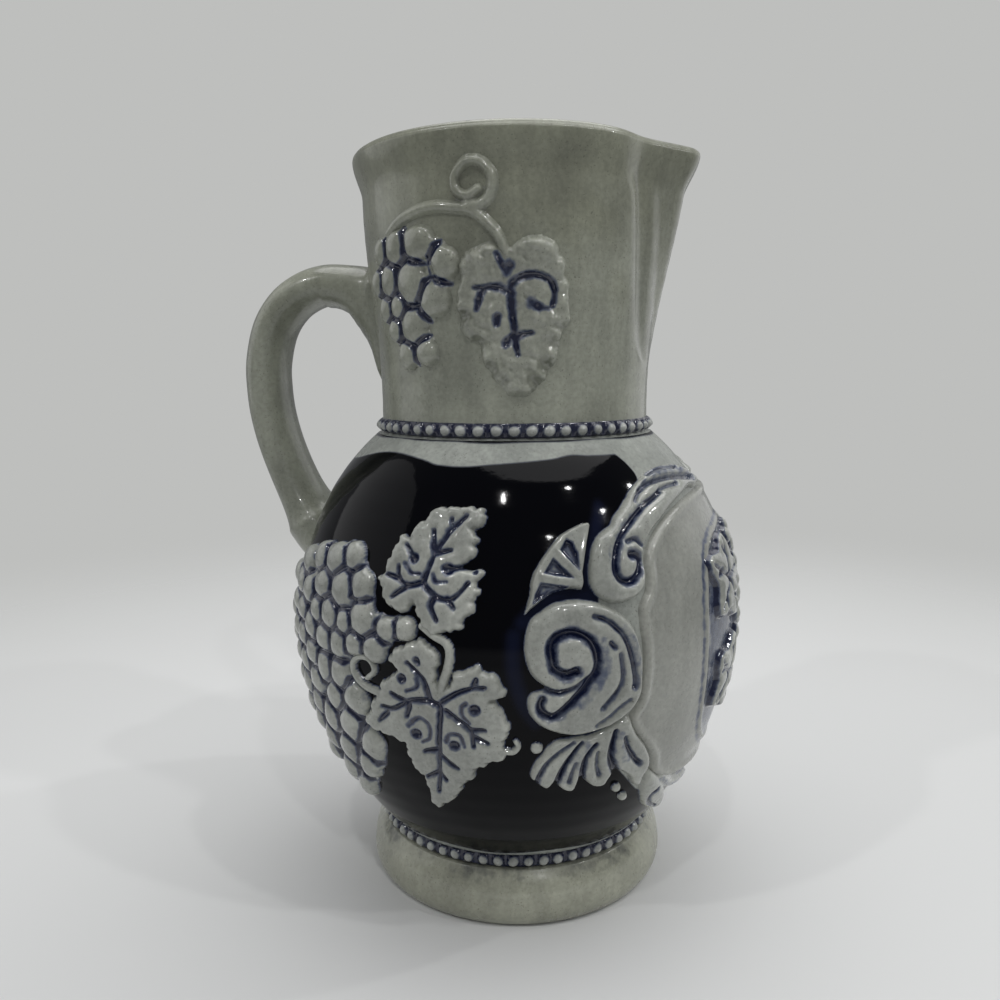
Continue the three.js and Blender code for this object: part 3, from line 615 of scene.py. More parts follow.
def make_cobalt_wash():
    """Cobalt brushed into the cut lines: deep where it lies thick, thin and blue at its edge."""
    group, given, out = new_group(
        "cobalt wash",
        [("Clay", "NodeSocketColor", None), ("Wash", "NodeSocketFloat", 0.0),
         ("Thin", "NodeSocketColor", None), ("Thick", "NodeSocketColor", None),
         ("Rough clay", "NodeSocketFloat", 0.3), ("Rough cobalt", "NodeSocketFloat", 0.16),
         ("Ragged", "NodeSocketFloat", 0.2)],
        [("Colour", "NodeSocketColor"), ("Roughness", "NodeSocketFloat")])
    place = node(group, "ShaderNodeTexCoord", {}).outputs["Object"]
    unrest = between(group, noise(group, place, RAGGED_WASH, 3.0), 0.25, 0.75, -1.0, 1.0)
    ragged = sums(group, "MULTIPLY", unrest, given.outputs["Ragged"])
    amount = sums(group, "ADD", given.outputs["Wash"], ragged)
    halo = between(group, amount, 0.12, 0.6, 0.0, 0.8)
    cover = between(group, amount, 0.5, 0.95)
    tint = blend_colours(group, halo, given.outputs["Clay"], given.outputs["Thin"])
    colour = blend_colours(group, cover, tint, given.outputs["Thick"])
    gloss = {0: cover, 2: given.outputs["Rough clay"], 3: given.outputs["Rough cobalt"]}
    group.links.new(colour, out.inputs["Colour"])
    group.links.new(node(group, "ShaderNodeMix", gloss).outputs[0], out.inputs["Roughness"])
    return group


SALT_SKIN = make_salt_skin()
COBALT_WASH = make_cobalt_wash()
THIN_BLUE = (0.048, 0.068, 0.135)
DEEP_BLUE = (0.004, 0.008, 0.034)
GROUND_BLACK = (0.0006, 0.0007, 0.0018)


def glaze(name, pale, deep, specks, gloss, peel, coat, thin=THIN_BLUE, thick=DEEP_BLUE, mark="wash",
          specular=0.5, ragged=0.2, edge=None, wet=0.16, smoke_from=1.0, relief=False, bluer=None):
    """Glazed stoneware: salt skin, with cobalt where the mesh's mark says.

    Pale and deep are the clay's colours, thin and thick the cobalt's. Gloss and wet are how rough
    clay and cobalt are, and peel is the depth of the orange peel in mm. The cobalt covers between
    the two ends of its edge, smoke darkens what is higher than smoke_from, in metres, and bluer is
    the thick colour in the places marked blue.
    """
    material = bpy.data.materials.new(name)
    material.use_nodes = True
    tree = material.node_tree
    shader = tree.nodes["Principled BSDF"]
    clay_sockets = {"Pale clay": (*pale, 1.0), "Deep clay": (*deep, 1.0), "Specks": specks,
                    "Gloss": gloss, "Smoke from": smoke_from}
    # Relief glazes read the pool mark: painted shade in hollows, with the glaze gathered there, and a
    # painted highlight on crests.
    if relief:
        clay_sockets["Hollow shade and crest light"] = marked(tree, "pool")
    clay = node(tree, "ShaderNodeGroup", clay_sockets, node_tree=SALT_SKIN)
    amount = marked(tree, mark)
    if edge:
        amount = between(tree, amount, *edge)
    thick_colour = (*thick, 1.0)
    if bluer:
        thick_colour = blend_colours(tree, marked(tree, "blue"), thick_colour, (*bluer, 1.0))
    wash_sockets = {"Clay": clay.outputs["Colour"], "Wash": amount, "Thin": (*thin, 1.0),
                    "Thick": thick_colour, "Rough clay": clay.outputs["Roughness"],
                    "Rough cobalt": wet, "Ragged": ragged}
    wash = node(tree, "ShaderNodeGroup", wash_sockets, node_tree=COBALT_WASH)
    bump = node(tree, "ShaderNodeBump", {"Height": clay.outputs["Peel"], "Strength": 1.0,
                                         "Distance": peel * MM})
    set_or_link(tree, shader, {
        "Base Color": wash.outputs["Colour"], "Roughness": wash.outputs["Roughness"],
        "Normal": bump.outputs["Normal"], "Specular IOR Level": specular, "Coat Weight": coat,
        "Coat Roughness": COAT_ROUGHNESS})
    return material


body_glaze = glaze(
    "body salt glaze", pale=(0.335, 0.348, 0.286), deep=(0.25, 0.26, 0.213), specks=0.5, gloss=0.3,
    peel=0.035, coat=0.35, thin=(0.12, 0.13, 0.125), smoke_from=0.160)
foot_glaze = glaze(
    "foot salt glaze", pale=(0.365, 0.372, 0.296), deep=(0.285, 0.29, 0.23), specks=0.45, gloss=0.3,
    peel=0.035, coat=0.35, thin=(0.115, 0.12, 0.105), thick=(0.01, 0.013, 0.03))
ground_glaze = glaze(
    "cobalt ground", pale=(0.365, 0.382, 0.35), deep=(0.285, 0.3, 0.276), specks=0.3, gloss=0.26,
    peel=0.008, coat=0.0, thin=(0.03, 0.035, 0.06), thick=GROUND_BLACK, mark="ground",
    specular=0.12, ragged=0.04, edge=(0.42, 0.54), wet=0.06, bluer=(0.005, 0.007, 0.02))
bead_glaze = glaze(
    "bead glaze", pale=(0.40, 0.415, 0.39), deep=(0.31, 0.32, 0.30), specks=0.2, gloss=0.28,
    peel=0.03, coat=0.4, thin=(0.055, 0.07, 0.125), thick=(0.006, 0.009, 0.034))
RELIEF_GLAZES = {
    "medallion_glaze": glaze(
        "medallion glaze", pale=(0.31, 0.316, 0.285), deep=(0.275, 0.281, 0.253), specks=0.15,
        gloss=0.28, peel=0.015, coat=0.35, relief=True),
    "relief_glaze": glaze(
        "relief glaze", pale=(0.375, 0.387, 0.352), deep=(0.28, 0.291, 0.265), specks=0.25,
        gloss=0.27, peel=0.05, coat=1.0, specular=0.2, relief=True),
    "neck_relief_glaze": glaze(
        "neck relief glaze", pale=(0.335, 0.348, 0.292), deep=(0.262, 0.272, 0.228), specks=0.3,
        gloss=0.27, peel=0.05, coat=1.0, specular=0.3, smoke_from=0.175, relief=True)}


# The thrown and pulled pieces

def closed_by_rings(rings, closed_rows):
    """Points and faces of a body through rings of points, its ends closed to their middles."""
    rows, columns = rings.shape[:2]
    points = rings.reshape(-1, 3)
    faces = ring_faces(rows, columns, closed_rows).tolist()
    if not closed_rows:
        middles = [rings[0].mean(0), rings[-1].mean(0)]
        points = np.vstack([points, *middles])
        for end, first in enumerate((0, (rows - 1) * columns)):
            for j in range(columns):
                pair = [first + (j + 1) % columns, first + j]
                faces.append([rows * columns + end, *(pair if end == 0 else pair[::-1])])
    return points, faces


def turned(profile, angles):
    """Rings of points for a profile of (radius, z), swept round the axis."""
    profile = np.asarray(profile, float)
    return np.stack([round_points(angles, radius, z) for radius, z in profile])


def hand_of_thrower(angle, z, seed, amount):
    """Slight unevenness that a thrown wall keeps."""
    rng = np.random.default_rng(seed)
    total = 0.0
    for wave in (2, 3, 5):
        phase, climb = rng.uniform(0.0, 2.0 * math.pi), rng.uniform(-0.05, 0.05)
        total = total + np.sin(wave * np.radians(angle) + phase + climb * z) / wave
    rings = np.sin(z * 2.0 * math.pi / 5.3 + 0.5 * np.sin(np.radians(angle) + seed))
    return amount * (total + 0.25 * rings)


ROUND = np.arange(0.0, 360.0, 0.75)     # angles of the points round a turned piece
DEGREE = math.radians(1.0) * BELLY_RADIUS      # its length in mm on the widest circle

# Edge of the cobalt ground under the collar: angle and height, the same on both sides
GROUND_TOP = [
    (-180, 126.5), (-159, 126.0), (-139, 128.8), (-127, 129.4), (-114, 128.2), (-108, 127.2), (-99, 127.0),
    (-91, 127.5), (-82, 128.0), (-71, 128.7), (-64, 129.5), (-53, 129.1), (0, 129.1)]
# The front behind the medallion and between the scrolls is bare clay inside this edge.
BARE_FRONT = [(-55, 138.0), (-50.5, 131.5), (-46.5, 128.2), (-44.6, 125.8), (-44, 124), (-45, 121.8),
              (-47.8, 119.8), (-51, 117.7), (-54.5, 115.8), (-57.2, 113.6), (-60, 111.9), (-62.5, 109.5),
              (-64.5, 98), (-65, 85), (-62, 66), (-60, 55), (-53, 46), (-47, 40.5), (-40, 38), (6, 38),
              (6, 136)]
# The bare patch at the handle's foot: half width, half height and height of its middle
HANDLE_PATCH = (18.0, 21.0, 106.0)
# Channels beside the scrolls where the ground runs bluer: angle and height
BLUE_CHANNELS = [
    [(-60.5, 117.0), (-63.4, 111.1), (-66.0, 104.9), (-65.3, 98.5), (-61.3, 95.3)],
    [(-81.5, 92.0), (-76.8, 97.3), (-72.3, 98.5), (-67.8, 97.3), (-62.7, 95.4)],
    [(-83.3, 89.0), (-83.5, 81.0), (-81.5, 72.5), (-78.5, 67.5)]]


def from_front(angle):
    """Angle from the spout without its sign: both sides are alike."""
    return np.abs((angle + 180.0) % 360.0 - 180.0)


def ground_depth(angle, z):
    """How far inside the cobalt ground a place on the belly lies, in mm."""
    off = from_front(angle)
    edge_angle, edge_z = curved(GROUND_TOP, steps=4).T
    top = np.interp(-off, edge_angle, edge_z)
    under = WAIST + 1.6 + 0.5 * np.sin(np.radians(9.0 * angle))
    half_width, half_height, middle = HANDLE_PATCH
    across = np.radians(180.0 - off) * belly_radius(z)
    u, v = across / half_width, (z - middle) / half_height
    turn = np.arctan2(v, u)
    waves = 0.06 * np.sin(3.0 * turn + 0.6) + 0.05 * np.sin(7.0 * turn)
    waves = waves + 0.03 * np.sin(11.0 * turn + 2.0)
    patch = (np.hypot(u, v) - 1.0 - waves) * half_width
    bare = np.array(BARE_FRONT, float) * [DEGREE, 1.0]
    bare_edge = curved(bare[:-2]).tolist() + bare[-2:].tolist()
    front = -depth_inside(bare_edge, -np.radians(off) * BELLY_RADIUS, z)
    ground = np.minimum(np.minimum(top - z, z - under), np.minimum(patch, front))
    run = COLLAR - 0.22 + 0.14 * np.sin(np.radians(5.0 * angle))
    run = run + 0.1 * np.sin(np.radians(13.0 * angle + 30.0))
    return np.maximum(ground, z - run)


def blue_beside_relief(angle, z):
    """How blue the ground runs in the channels between the scrolls, 0 to 1."""
    across = -from_front(angle) * DEGREE
    blue = np.zeros(z.shape)
    for channel in BLUE_CHANNELS:
        away = distance_to(curved(np.array(channel) * [DEGREE, 1.0], steps=3), across, z)
        blue = np.maximum(blue, ease((3.0 - away) / 2.6))
    return blue


def make_belly():
    """Bulbous body, hollow and open under the neck, with the cobalt ground on its outside."""
    outside = np.linspace(WAIST, COLLAR, 130)
    inside = np.linspace(COLLAR - 2.0, WAIST + 9.0, 44)
    floor = BELLY_BOTTOM + FLOOR
    profile = [(WAIST_RADIUS - LEDGE, BELLY_BOTTOM), (WAIST_RADIUS, BELLY_BOTTOM + LEDGE),
               (WAIST_RADIUS, WAIST)]
    wall = slice(len(profile), len(profile) + len(outside))
    profile += [(belly_radius(z), z) for z in outside]
    profile += [(NECK_RADIUS, COLLAR), (NECK_RADIUS, SEAM), (NECK_RADIUS - WALL, SEAM + 1.0)]
    profile += [(belly_radius(z) - WALL, z) for z in inside]
    profile += [(0.75 * WAIST_RADIUS, floor + 1.6), (0.6 * WAIST_RADIUS, floor)]
    rings = turned(profile, ROUND)
    angle = np.broadcast_to(ROUND, rings.shape[:2])
    height = rings[..., 2]
    uneven = hand_of_thrower(angle, height, seed=3, amount=0.10)
    fade = ease((COLLAR - height) / 6.0) * ease((height - WAIST) / 6.0)
    stretch = 1.0 + uneven * fade / np.hypot(rings[..., 0], rings[..., 1])
    rings[wall, :, :2] *= stretch[wall, :, None]
    ground = np.full(rings.shape[:2], -9.0)
    ground[wall] = ground_depth(angle[wall], height[wall])
    points, faces = closed_by_rings(rings, False)
    end_middles = [0.0, 0.0]
    marks = {"ground": np.append(np.clip(0.5 + ground.ravel() / 8.0, 0.0, 1.0), end_middles),
             "blue": np.append(blue_beside_relief(angle, height).ravel(), end_middles)}
    add_piece("belly_clay", points, faces, ground_glaze, ["belly"], marks)


def make_neck():
    """Thrown neck with a rounded lip and the beak, its points set closer round the beak."""
    angles = np.concatenate([np.arange(-60.0, 60.0, 0.5), np.arange(60.0, 300.0, 1.25)])
    off = np.where(angles > 180.0, angles - 360.0, angles)
    edge = RIM - LIP_ROUNDING - 0.05
    outside = np.concatenate([np.linspace(SEAM + 0.2, 150.0, 16), np.linspace(150.6, edge, 84)])

    def ring(z, inset, height):
        radius = beaked_radius(np.full(off.shape, z), off) - inset
        uneven = hand_of_thrower(angles, z, seed=8, amount=0.09)
        return round_points(angles, radius + uneven * ease((RIM + 6.0 - z) / 30.0), height)

    rings = [ring(z, 0.0, z) for z in outside]
    for turn in np.linspace(0.0, math.pi, 11):
        rings.append(ring(edge, WALL / 2 * (1 - math.cos(turn)), edge + LIP_ROUNDING * math.sin(turn)))
    rings += [ring(z, WALL, z) for z in outside[::-2]]
    points, faces = closed_by_rings(np.stack(rings), True)
    marks = {"wash": np.zeros(len(points))}
    add_piece("neck_clay", points, faces, body_glaze, ["neck"], marks)


# Foot ring: how far inside its radius each point of the profile lies, and its height
FOOT_OUTSIDE = [(3.0, 0.05), (1.9, 0.5), (0.7, 2.0), (0.15, 3.6), (0.0, 5.2), (0.25, 8.0), (0.8, 10.6),
                (1.7, 12.8), (2.9, 14.6), (3.6, FOOT_TOP)]
FOOT_INSIDE = [(12.1, FOOT_TOP), (9.4, 5.2), (9.2, 0.6), (8.6, 0.05)]
FOOT_UNEVEN = slice(1, 30)     # the rings between its standing edge and its seat


def make_foot():
    """Turned foot, stained where the cobalt of the beads has run down it."""
    outside = curved([(FOOT_RADIUS - inset, z) for inset, z in FOOT_OUTSIDE], steps=4)
    inside = [(FOOT_RADIUS - inset, z) for inset, z in FOOT_INSIDE]
    rings = turned(outside.tolist() + inside, ROUND)
    uneven = hand_of_thrower(ROUND, 0.0, seed=5, amount=0.06)
    rings[FOOT_UNEVEN, :, :2] *= (1.0 + uneven / FOOT_RADIUS)[None, :, None]
    points, faces = closed_by_rings(rings, True)
    streaks = 0.5 + 0.3 * np.sin(np.radians(7.0 * ROUND + 40.0)) + 0.2 * np.sin(np.radians(17.0 * ROUND))
    wash = 0.48 * streaks * ease((rings[..., 2] - 10.0) / 4.5)
    add_piece("foot_clay", points, faces, foot_glaze, ["foot_ring"], {"wash": wash})


# Bead bands, in mm: count of beads, height of the middle, radius of the wall behind and seed
BEAD_BANDS = {"neck_bead_band": (54, SEAM, NECK_RADIUS, 11),
              "foot_bead_band": (62, 18.0, WAIST_RADIUS, 12)}
BAND_HALF_HEIGHT = 2.1
BEAD_RISE = 1.6
BEAD_SHARE = 0.82              # of the band's height and length, the rest is between the beads
POINTS_PER_BEAD = 12


def make_bead_band(node_name, count, middle, wall_radius, seed):
    """A strip of beads pressed round a seam: domes on a thin strip, cobalt in the hollows."""
    rng = np.random.default_rng(seed)
    step = 360.0 / count
    angles = np.arange(count * POINTS_PER_BEAD) * step / POINTS_PER_BEAD
    bead = np.arange(angles.size) // POINTS_PER_BEAD
    shift = rng.uniform(-0.05, 0.05, count)[bead]
    size = rng.uniform(0.93, 1.04, count)[bead]
    lean = rng.uniform(-0.12, 0.12, count)[bead]
    u = ((angles / step) % 1.0 - 0.5 + shift) * 2.0
    rings, marks = [], []
    for v in np.linspace(-1.0, 1.0, 15):
        ratio = np.hypot(u / BEAD_SHARE, (v + lean * u) / BEAD_SHARE) / size
        dome = ease(1.12 - np.minimum(ratio, 1.12)) ** 0.62
        strip = 0.55 * math.sqrt(max(0.0, 1.0 - v ** 4))
        radius = wall_radius - 0.2 + strip + BEAD_RISE * dome
        rings.append(round_points(angles, radius, middle + BAND_HALF_HEIGHT * v))
        marks.append(0.05 + 0.95 * ease((ratio - 0.58) / 0.36))
    for edge in (BAND_HALF_HEIGHT, -BAND_HALF_HEIGHT):
        rings.append(round_points(angles, wall_radius - 0.6, middle + edge))
        marks.append(np.ones(angles.size))
    points, faces = closed_by_rings(np.stack(rings), True)
    add_piece(f"{node_name}_clay", points, faces, bead_glaze, [node_name],
              {"wash": np.stack(marks)})


# The middle of the handle and the lower edge of its web: how far behind the axis, and height
HANDLE_PATH = [(36.0, 174.3), (41.5, 174.5), (48.0, 176.0), (56.0, 176.6), (63.0, 174.6), (69.0, 170.4),
               (73.6, 163.6), (76.1, 154.0), (76.3, 146.0), (75.5, 138.0), (73.3, 129.0),
               (69.8, 119.5), (65.6, 110.5), (61.2, 103.3), (57.5, 98.5)]
WEB_EDGE = [(39.3, 147.5), (39.9, 151.5), (40.6, 156.0), (41.6, 159.6), (43.0, 162.6), (45.2, 165.4),
            (48.2, 167.9), (51.0, 169.5), (54.0, 170.5), (57.0, 170.7)]
HANDLE_HALF_DEPTH = 5.86
HANDLE_HALF_WIDTH = 10.4
NECK_ROOT = 41.0               # the handle leaves the neck this far behind the axis
BELLY_ROOT = 9.0               # its last stretch, inside the luted root on the belly


def swelling(amount, way, length):
    """Swelling that dies away along the handle."""
    return amount * math.exp(-way / length)


def make_handle():
    """Pulled strap: oval with softened edges, swelling into both roots and webbed under the top."""
    path = curved(HANDLE_PATH, steps=12)
    tangent = np.gradient(path, axis=0)
    tangent /= np.hypot(*tangent.T)[:, None]
    length = np.concatenate([[0.0], np.cumsum(np.hypot(*np.diff(path, axis=0).T))])
    to_neck = np.maximum(0.0, path[:, 0] - NECK_ROOT)
    to_belly = np.maximum(0.0, length[-1] - BELLY_ROOT - length)
    turns = np.radians(np.arange(0.0, 360.0, 7.5))
    side, face = np.sin(turns), np.cos(turns)
    web_edge, web_low = np.array(WEB_EDGE).T
    rings = []
    for (behind, z), (along, climb), neck_way, belly_way in zip(path, tangent, to_neck, to_belly):
        web = z - np.interp(behind, web_edge, web_low) if behind < web_edge[-1] else 0.0
        spread = swelling(2.6, belly_way, 4.5) + swelling(1.6, neck_way, 2.8)
        half = HANDLE_HALF_DEPTH + swelling(0.4, neck_way, 8.0)
        half_width = HANDLE_HALF_WIDTH + swelling(0.7, belly_way, 15.0)
        deep = softly_larger(half + spread, web, 3.0)
        inner = deep * (1.0 - 0.1 * side ** 2) * np.sign(face) * np.abs(face) ** 0.82
        depth = np.where(face > 0.0, inner, (half + spread) * face)
        width = (half_width + spread) * np.sign(side) * np.abs(side) ** 0.9
        rings.append(np.stack([-(behind + climb * depth), width, z - along * depth], -1))
    points, faces = closed_by_rings(np.stack(rings), False)
    marks = {"wash": np.zeros(len(points))}
    add_piece("handle_clay", points, faces, body_glaze, ["handle"], marks)


make_belly()
make_neck()
make_foot()
make_handle()
for band, sizes in BEAD_BANDS.items():
    make_bead_band(band, *sizes)


# Relief: outlines and lines in mm across and up from each hub. An eye is its place and radius, a
# cord its points, widths at both ends and height, a cut line its points, widths at both ends, depth
# and strength of the cobalt, and a tint the same without a depth.

UPPER_LEAF = [
    (2.5, 19.5), (3.5, 19), (7, 19), (11, 19), (12, 16), (11, 14), (9, 13.5), (10, 12), (11.5, 11),
    (10, 9.5), (11, 7.5), (9.5, 6), (7, 4), (13.5, 3.5), (13, 2), (11.5, 1), (13, -1.5), (11, -3.5),
    (12, -5.5), (11, -6.5), (8.5, -8.5), (9.5, -10), (7, -10.5), (5, -11), (2, -12.5), (-1, -10.5),
    (-2.5, -7.5), (-3.5, -4.5), (-4.5, -6), (-6, -7.5), (-8, -7.5), (-10.5, -6.5), (-12.5, -4.5),
    (-12.5, -2.5), (-14.5, 0), (-12, 1.5), (-12, 4), (-10.5, 7.5), (-8.5, 11.5), (-6, 10), (-6, 12),
    (-5, 14), (-3, 15), (-2, 17.5), (-0.5, 18.5), (2, 18.5)]
UPPER_LEAF_VEINS = [
    [(-1, 0), (0.5, 5), (1, 7)], [(1, 7), (0, 12.5)], [(1, 7), (4, 12.5), (4, 15.5)],
    [(4, 12.5), (7.5, 16.5)], [(1, 7), (5, 8)], [(-1, 0), (-5, -1), (-7.5, 0.5), (-8, 3.5)],
    [(-7.5, 0.5), (-11, 1)], [(-5, -1), (-9, -4)], [(-1, 0), (1, -2), (4, -3.5), (7, -3), (10, 0.5)],
    [(5.5, -3.5), (7, -5.5)], [(2, -3.5), (1.5, -5.5), (3, -8.5)], [(5.5, 3.6), (9, 4.2), (13.5, 5)],
    [(-4, 5.5), (-6.5, 8.5)]]
UPPER_LEAF_ARCS = [[(-6, 4), (-4, 2), (-2, 2)], [(1.5, 2), (2.5, 0.5), (5, 0.5)]]
UPPER_LEAF_EYES = [(-4, 5.5, 1.1), (5, 3.5, 1.2), (11.5, 3, 0.5)]

LOWER_LEAF = [
    (-11.5, 9.5), (-9, 12.5), (-5, 14.5), (-2.5, 15.5), (-1, 14.5), (1.5, 13), (2.5, 11), (1.5, 5.5),
    (3.5, 3.5), (5, 4.5), (6, 8), (8.5, 8.5), (10.5, 9.5), (12, 10.5), (12.5, 8.5), (16, 8), (17, 6),
    (18.5, 3.5), (17, 2), (14.5, 1.5), (16.5, 0), (17.5, -2), (19, -5.5), (18, -8), (17, -10.5),
    (17.5, -13.5), (16, -15), (12.5, -15.5), (12.5, -17), (9.5, -17.5), (9, -21), (6.5, -22.5),
    (5, -25.5), (2.5, -29), (-2, -32.5), (-4, -30.5), (-3.5, -27.5), (-4, -23), (-5.5, -20.5),
    (-7, -18.5), (-8, -16), (-8, -12.5), (-10.5, -12), (-11.5, -11.5), (-13.5, -11.5), (-17.5, -11),
    (-20, -9.5), (-20, -7.5), (-17.5, -5), (-17.5, -3), (-14.5, 0), (-14, 3), (-11.5, 4.5), (-9.5, 6),
    (-8.5, 7)]
LOWER_LEAF_VEINS = [
    [(0.5, 0.5), (2.5, -1), (2, -6), (0.5, -20), (-0.5, -25.5)], [(0, -19.5), (-3, -21.5)],
    [(0.5, -19.5), (2, -21.5)], [(1.5, -14), (5.5, -17.5)], [(0.5, -12.5), (-2.5, -13.5)],
    [(0.5, 0.5), (-2.5, 0.5), (-6, -0.5), (-10, -3), (-13.5, -3)], [(-6, -0.5), (-10.5, 1)],
    [(-5.5, -1.5), (-6.5, -4.5)], [(-12, -4.5), (-15, -7.5)], [(0, 1), (-1, 5), (-3, 7.5), (-5.5, 9.5)],
    [(-3, 10.5), (-2.5, 9.5)], [(3, 0.5), (6.5, 3), (10, 4.5), (13.5, 5)], [(11, 5.5), (11.5, 7)],
    [(4, -1.5), (6.5, -3.5), (9.5, -6), (10, -10.5)], [(9.5, -6), (13, -6)],
    [(10.5, -8), (13.5, -9.5)]]
LOWER_LEAF_ARCS = [
    [(-3, 6), (-3, 4), (-6, 2.5)], [(-6, -6.5), (-3, -4), (-0.5, -5.5), (-0.5, -9), (-2.5, -10.5)],
    [(3.5, -9.5), (4.5, -7.5), (7, -7.5), (8, -10.5)], [(9, 1), (8, 0), (8, -2), (9.5, -4)]]
LOWER_LEAF_EYES = [(-7, 5.5, 1.0), (-4, -8.5, 1.1), (5.5, -10.5, 1.1), (11, -0.5, 1.1)]
LEAF_CORDS = [
    ([(-2, 18.5), (1, 16.5), (4, 15), (5, 12.5), (4.5, 9), (3.5, 6), (2.4, 2.4)], 2.2, 2.6, 1.9),
    ([(-13, -0.6), (-19.5, 0.5), (-23, 3), (-23.5, 6), (-21, 8), (-17.5, 8), (-16, 5.5), (-18.5, 3)],
     2.4, 1.6, 1.6),
    ([(16, -12), (19, -12.5), (20.5, -11), (20, -9.5)], 2.0, 1.4, 1.5)]

NECK_LEAF = [
    (-2.5, 9.5), (-4.4, 10.5), (-6.3, 11.0), (-8.0, 10.2), (-9.9, 9.5), (-12.2, 9.2), (-13.3, 6.9),
    (-14.1, 4.0), (-13.8, 0.9), (-14.6, -2.0), (-14.3, -5.1), (-13.8, -8.3), (-13.1, -11.2),
    (-11.3, -13.0), (-9.5, -13.5), (-8.4, -15.6), (-7.9, -18.4), (-6.8, -20.8), (-4.9, -23.1),
    (-3.0, -25.3), (-0.4, -27.0), (2.7, -26.8), (5.3, -25.5), (7.3, -23.9), (8.7, -21.5),
    (10.3, -19.4), (11.2, -16.5), (12.5, -14.2), (12.2, -11.8), (14.1, -9.3), (14.4, -5.9),
    (13.8, -2.5), (14.1, 0.9), (13.2, 4.2), (12.7, 7.1), (11.2, 9.6), (8.5, 12.1), (5.1, 12.5),
    (2.0, 12.0), (-0.1, 10.4)]
NECK_LEAF_LUMPS = [
    (5.1, 10.7), (9.2, 8.9), (11.7, 5.6), (12.8, 1.4), (12.8, -3.0), (12.9, -7.3), (10.3, -11.3),
    (9.3, -16.2), (6.3, -21.2), (3.1, -24.6), (-0.5, -24.1), (-4.2, -20.3), (-6.1, -16.6),
    (-8.6, -11.4), (-11.8, -8.9), (-13.0, -3.9), (-12.9, 0.9), (-12.3, 5.6), (-9.5, 8.1), (-6.1, 9.4)]
NECK_LEAF_VEINS = [
    [(-0.9, -0.1), (-0.7, -3.0), (-0.4, -6.6), (0.0, -10.3), (0.5, -14.0), (1.0, -16.2)],
    [(-0.7, -1.1), (-0.4, 0.8), (0.8, 2.2), (2.7, 2.9), (5.1, 3.2), (7.0, 2.9), (8.7, 2.0), (9.7, 0.3),
     (10.0, -2.0), (9.3, -4.2)],
    [(-1.4, -0.8), (-3.3, 0.1), (-5.7, 0.4), (-7.9, 0.2), (-9.4, 0.3)],
    [(-7.6, -0.2), (-8.4, -2.4), (-8.9, -5.0)], [(0.0, -12.0), (1.9, -11.3), (4.4, -10.8)],
    [(-1.9, -13.4), (-1.0, -12.0), (0.0, -11.0)]]
NECK_LEAF_LOBES = [(-8.2, 5.5), (7.5, 7.2), (9.6, -7.5), (-9.2, -5.4)]
NECK_LEAF_DENTS = [(-9.0, -13.1), (-5.4, -20.1), (5.3, -22.9), (8.0, -19.4), (-12.5, -7.1), (12.2, -9.6),
                   (11.0, -14.0), (-14.0, 2.6), (13.4, 3.0), (-1.8, -23.4), (-11.0, 7.2), (10.9, 7.6)]
NECK_LEAF_STROKES = [
    ([(-3.8, -6.7), (-4.2, -8.7)], 1.8, 1.5, 0.45),
    ([(-4.2, 8.4), (-2.9, 6.0), (-1.6, 3.8), (-1.0, 5.4)], 1.0, 2.2, 0.35),
    ([(4.4, -3.7), (6.2, -4.6), (8.4, -4.9)], 2.3, 1.0, 0.35)]
NECK_LEAF_RING = (-3.9, -6.8, 1.9, 3.2, 0.45)
VINE_CORDS = [
    ([(-19.5, -4), (-15.5, -1.5), (-11, 0), (-5, 1), (1, 0.5), (6, -0.5), (9, -2.5), (11.5, -5),
      (13, -7.5), (14.3, -11.2)], 3.1, 2.5, 1.7),
    ([(5, 0.4), (9, 1), (11.2, 3.6), (11.4, 7.4), (8.6, 10.7), (5, 10.7), (2.1, 7.6), (2.6, 4.2),
      (5.4, 2.9), (8, 4.4)], 2.8, 2.3, 1.7)]
NECK_GRAPES = [
    (2.5, 11.1, 4.7, 4.1, -6), (-5.7, 10.5, 3.5, 4.3, -8), (-12.1, 10.0, 2.8, 3.7, -11),
    (9.8, 5.6, 3.7, 4.0, -5), (-1.1, 1.2, 4.4, 4.8, -8), (-9.3, 2.4, 3.3, 4.2, -11),
    (-15.7, 2.1, 2.8, 3.8, -16), (6.1, -3.3, 4.3, 4.2, -6), (-6.4, -4.4, 2.7, 3.2, -9),
    (-12.4, -5.0, 3.0, 3.5, -13), (-1.5, -9.7, 4.1, 4.3, -7), (-8.6, -10.6, 2.9, 3.1, -10),
    (-4.9, -17.3, 3.2, 3.8, -7), (2.3, -16.5, 3.2, 3.4, -5)]

FAN = [
    (-1.2, 30.4), (-3.2, 30), (-5.9, 28.9), (-8.5, 27.5), (-10.8, 25.2), (-12.4, 23.3), (-14.1, 21.2),
    (-15.7, 18.9), (-16.7, 16.5), (-17.2, 13.5), (-17.8, 11.9), (-18.9, 8.9), (-17.5, 10.3), (-16, 11.4),
    (-13.8, 13), (-11.9, 14.1), (-9.8, 14.7), (-7.4, 15), (-4.8, 14.4), (-4.2, 16), (-4.2, 18.4),
    (-3.2, 21.9), (-2.1, 25.5), (-0.6, 29.6)]
FAN_OPENINGS = [
    [(-9.1, 23.9), (-7.3, 26.2), (-6, 25.5), (-5.2, 23), (-5.3, 19.1), (-6.5, 20.4), (-8.1, 22.4)],
    [(-11, 22), (-13.5, 18.6), (-10.8, 18), (-6.9, 17.3)],
    [(-14.4, 16.5), (-8.3, 15.3), (-11.2, 14.3), (-14.8, 12.8), (-16.7, 11.7), (-16.1, 13.7)]]
FAN_RIBS = [[(-1.6, 27.5), (-4.0, 20.0), (-4.9, 16.0)], [(-10.1, 24.2), (-7.0, 20.0), (-5.2, 16.6)],
            [(-14.5, 18.3), (-9.0, 16.8), (-5.3, 15.6)]]

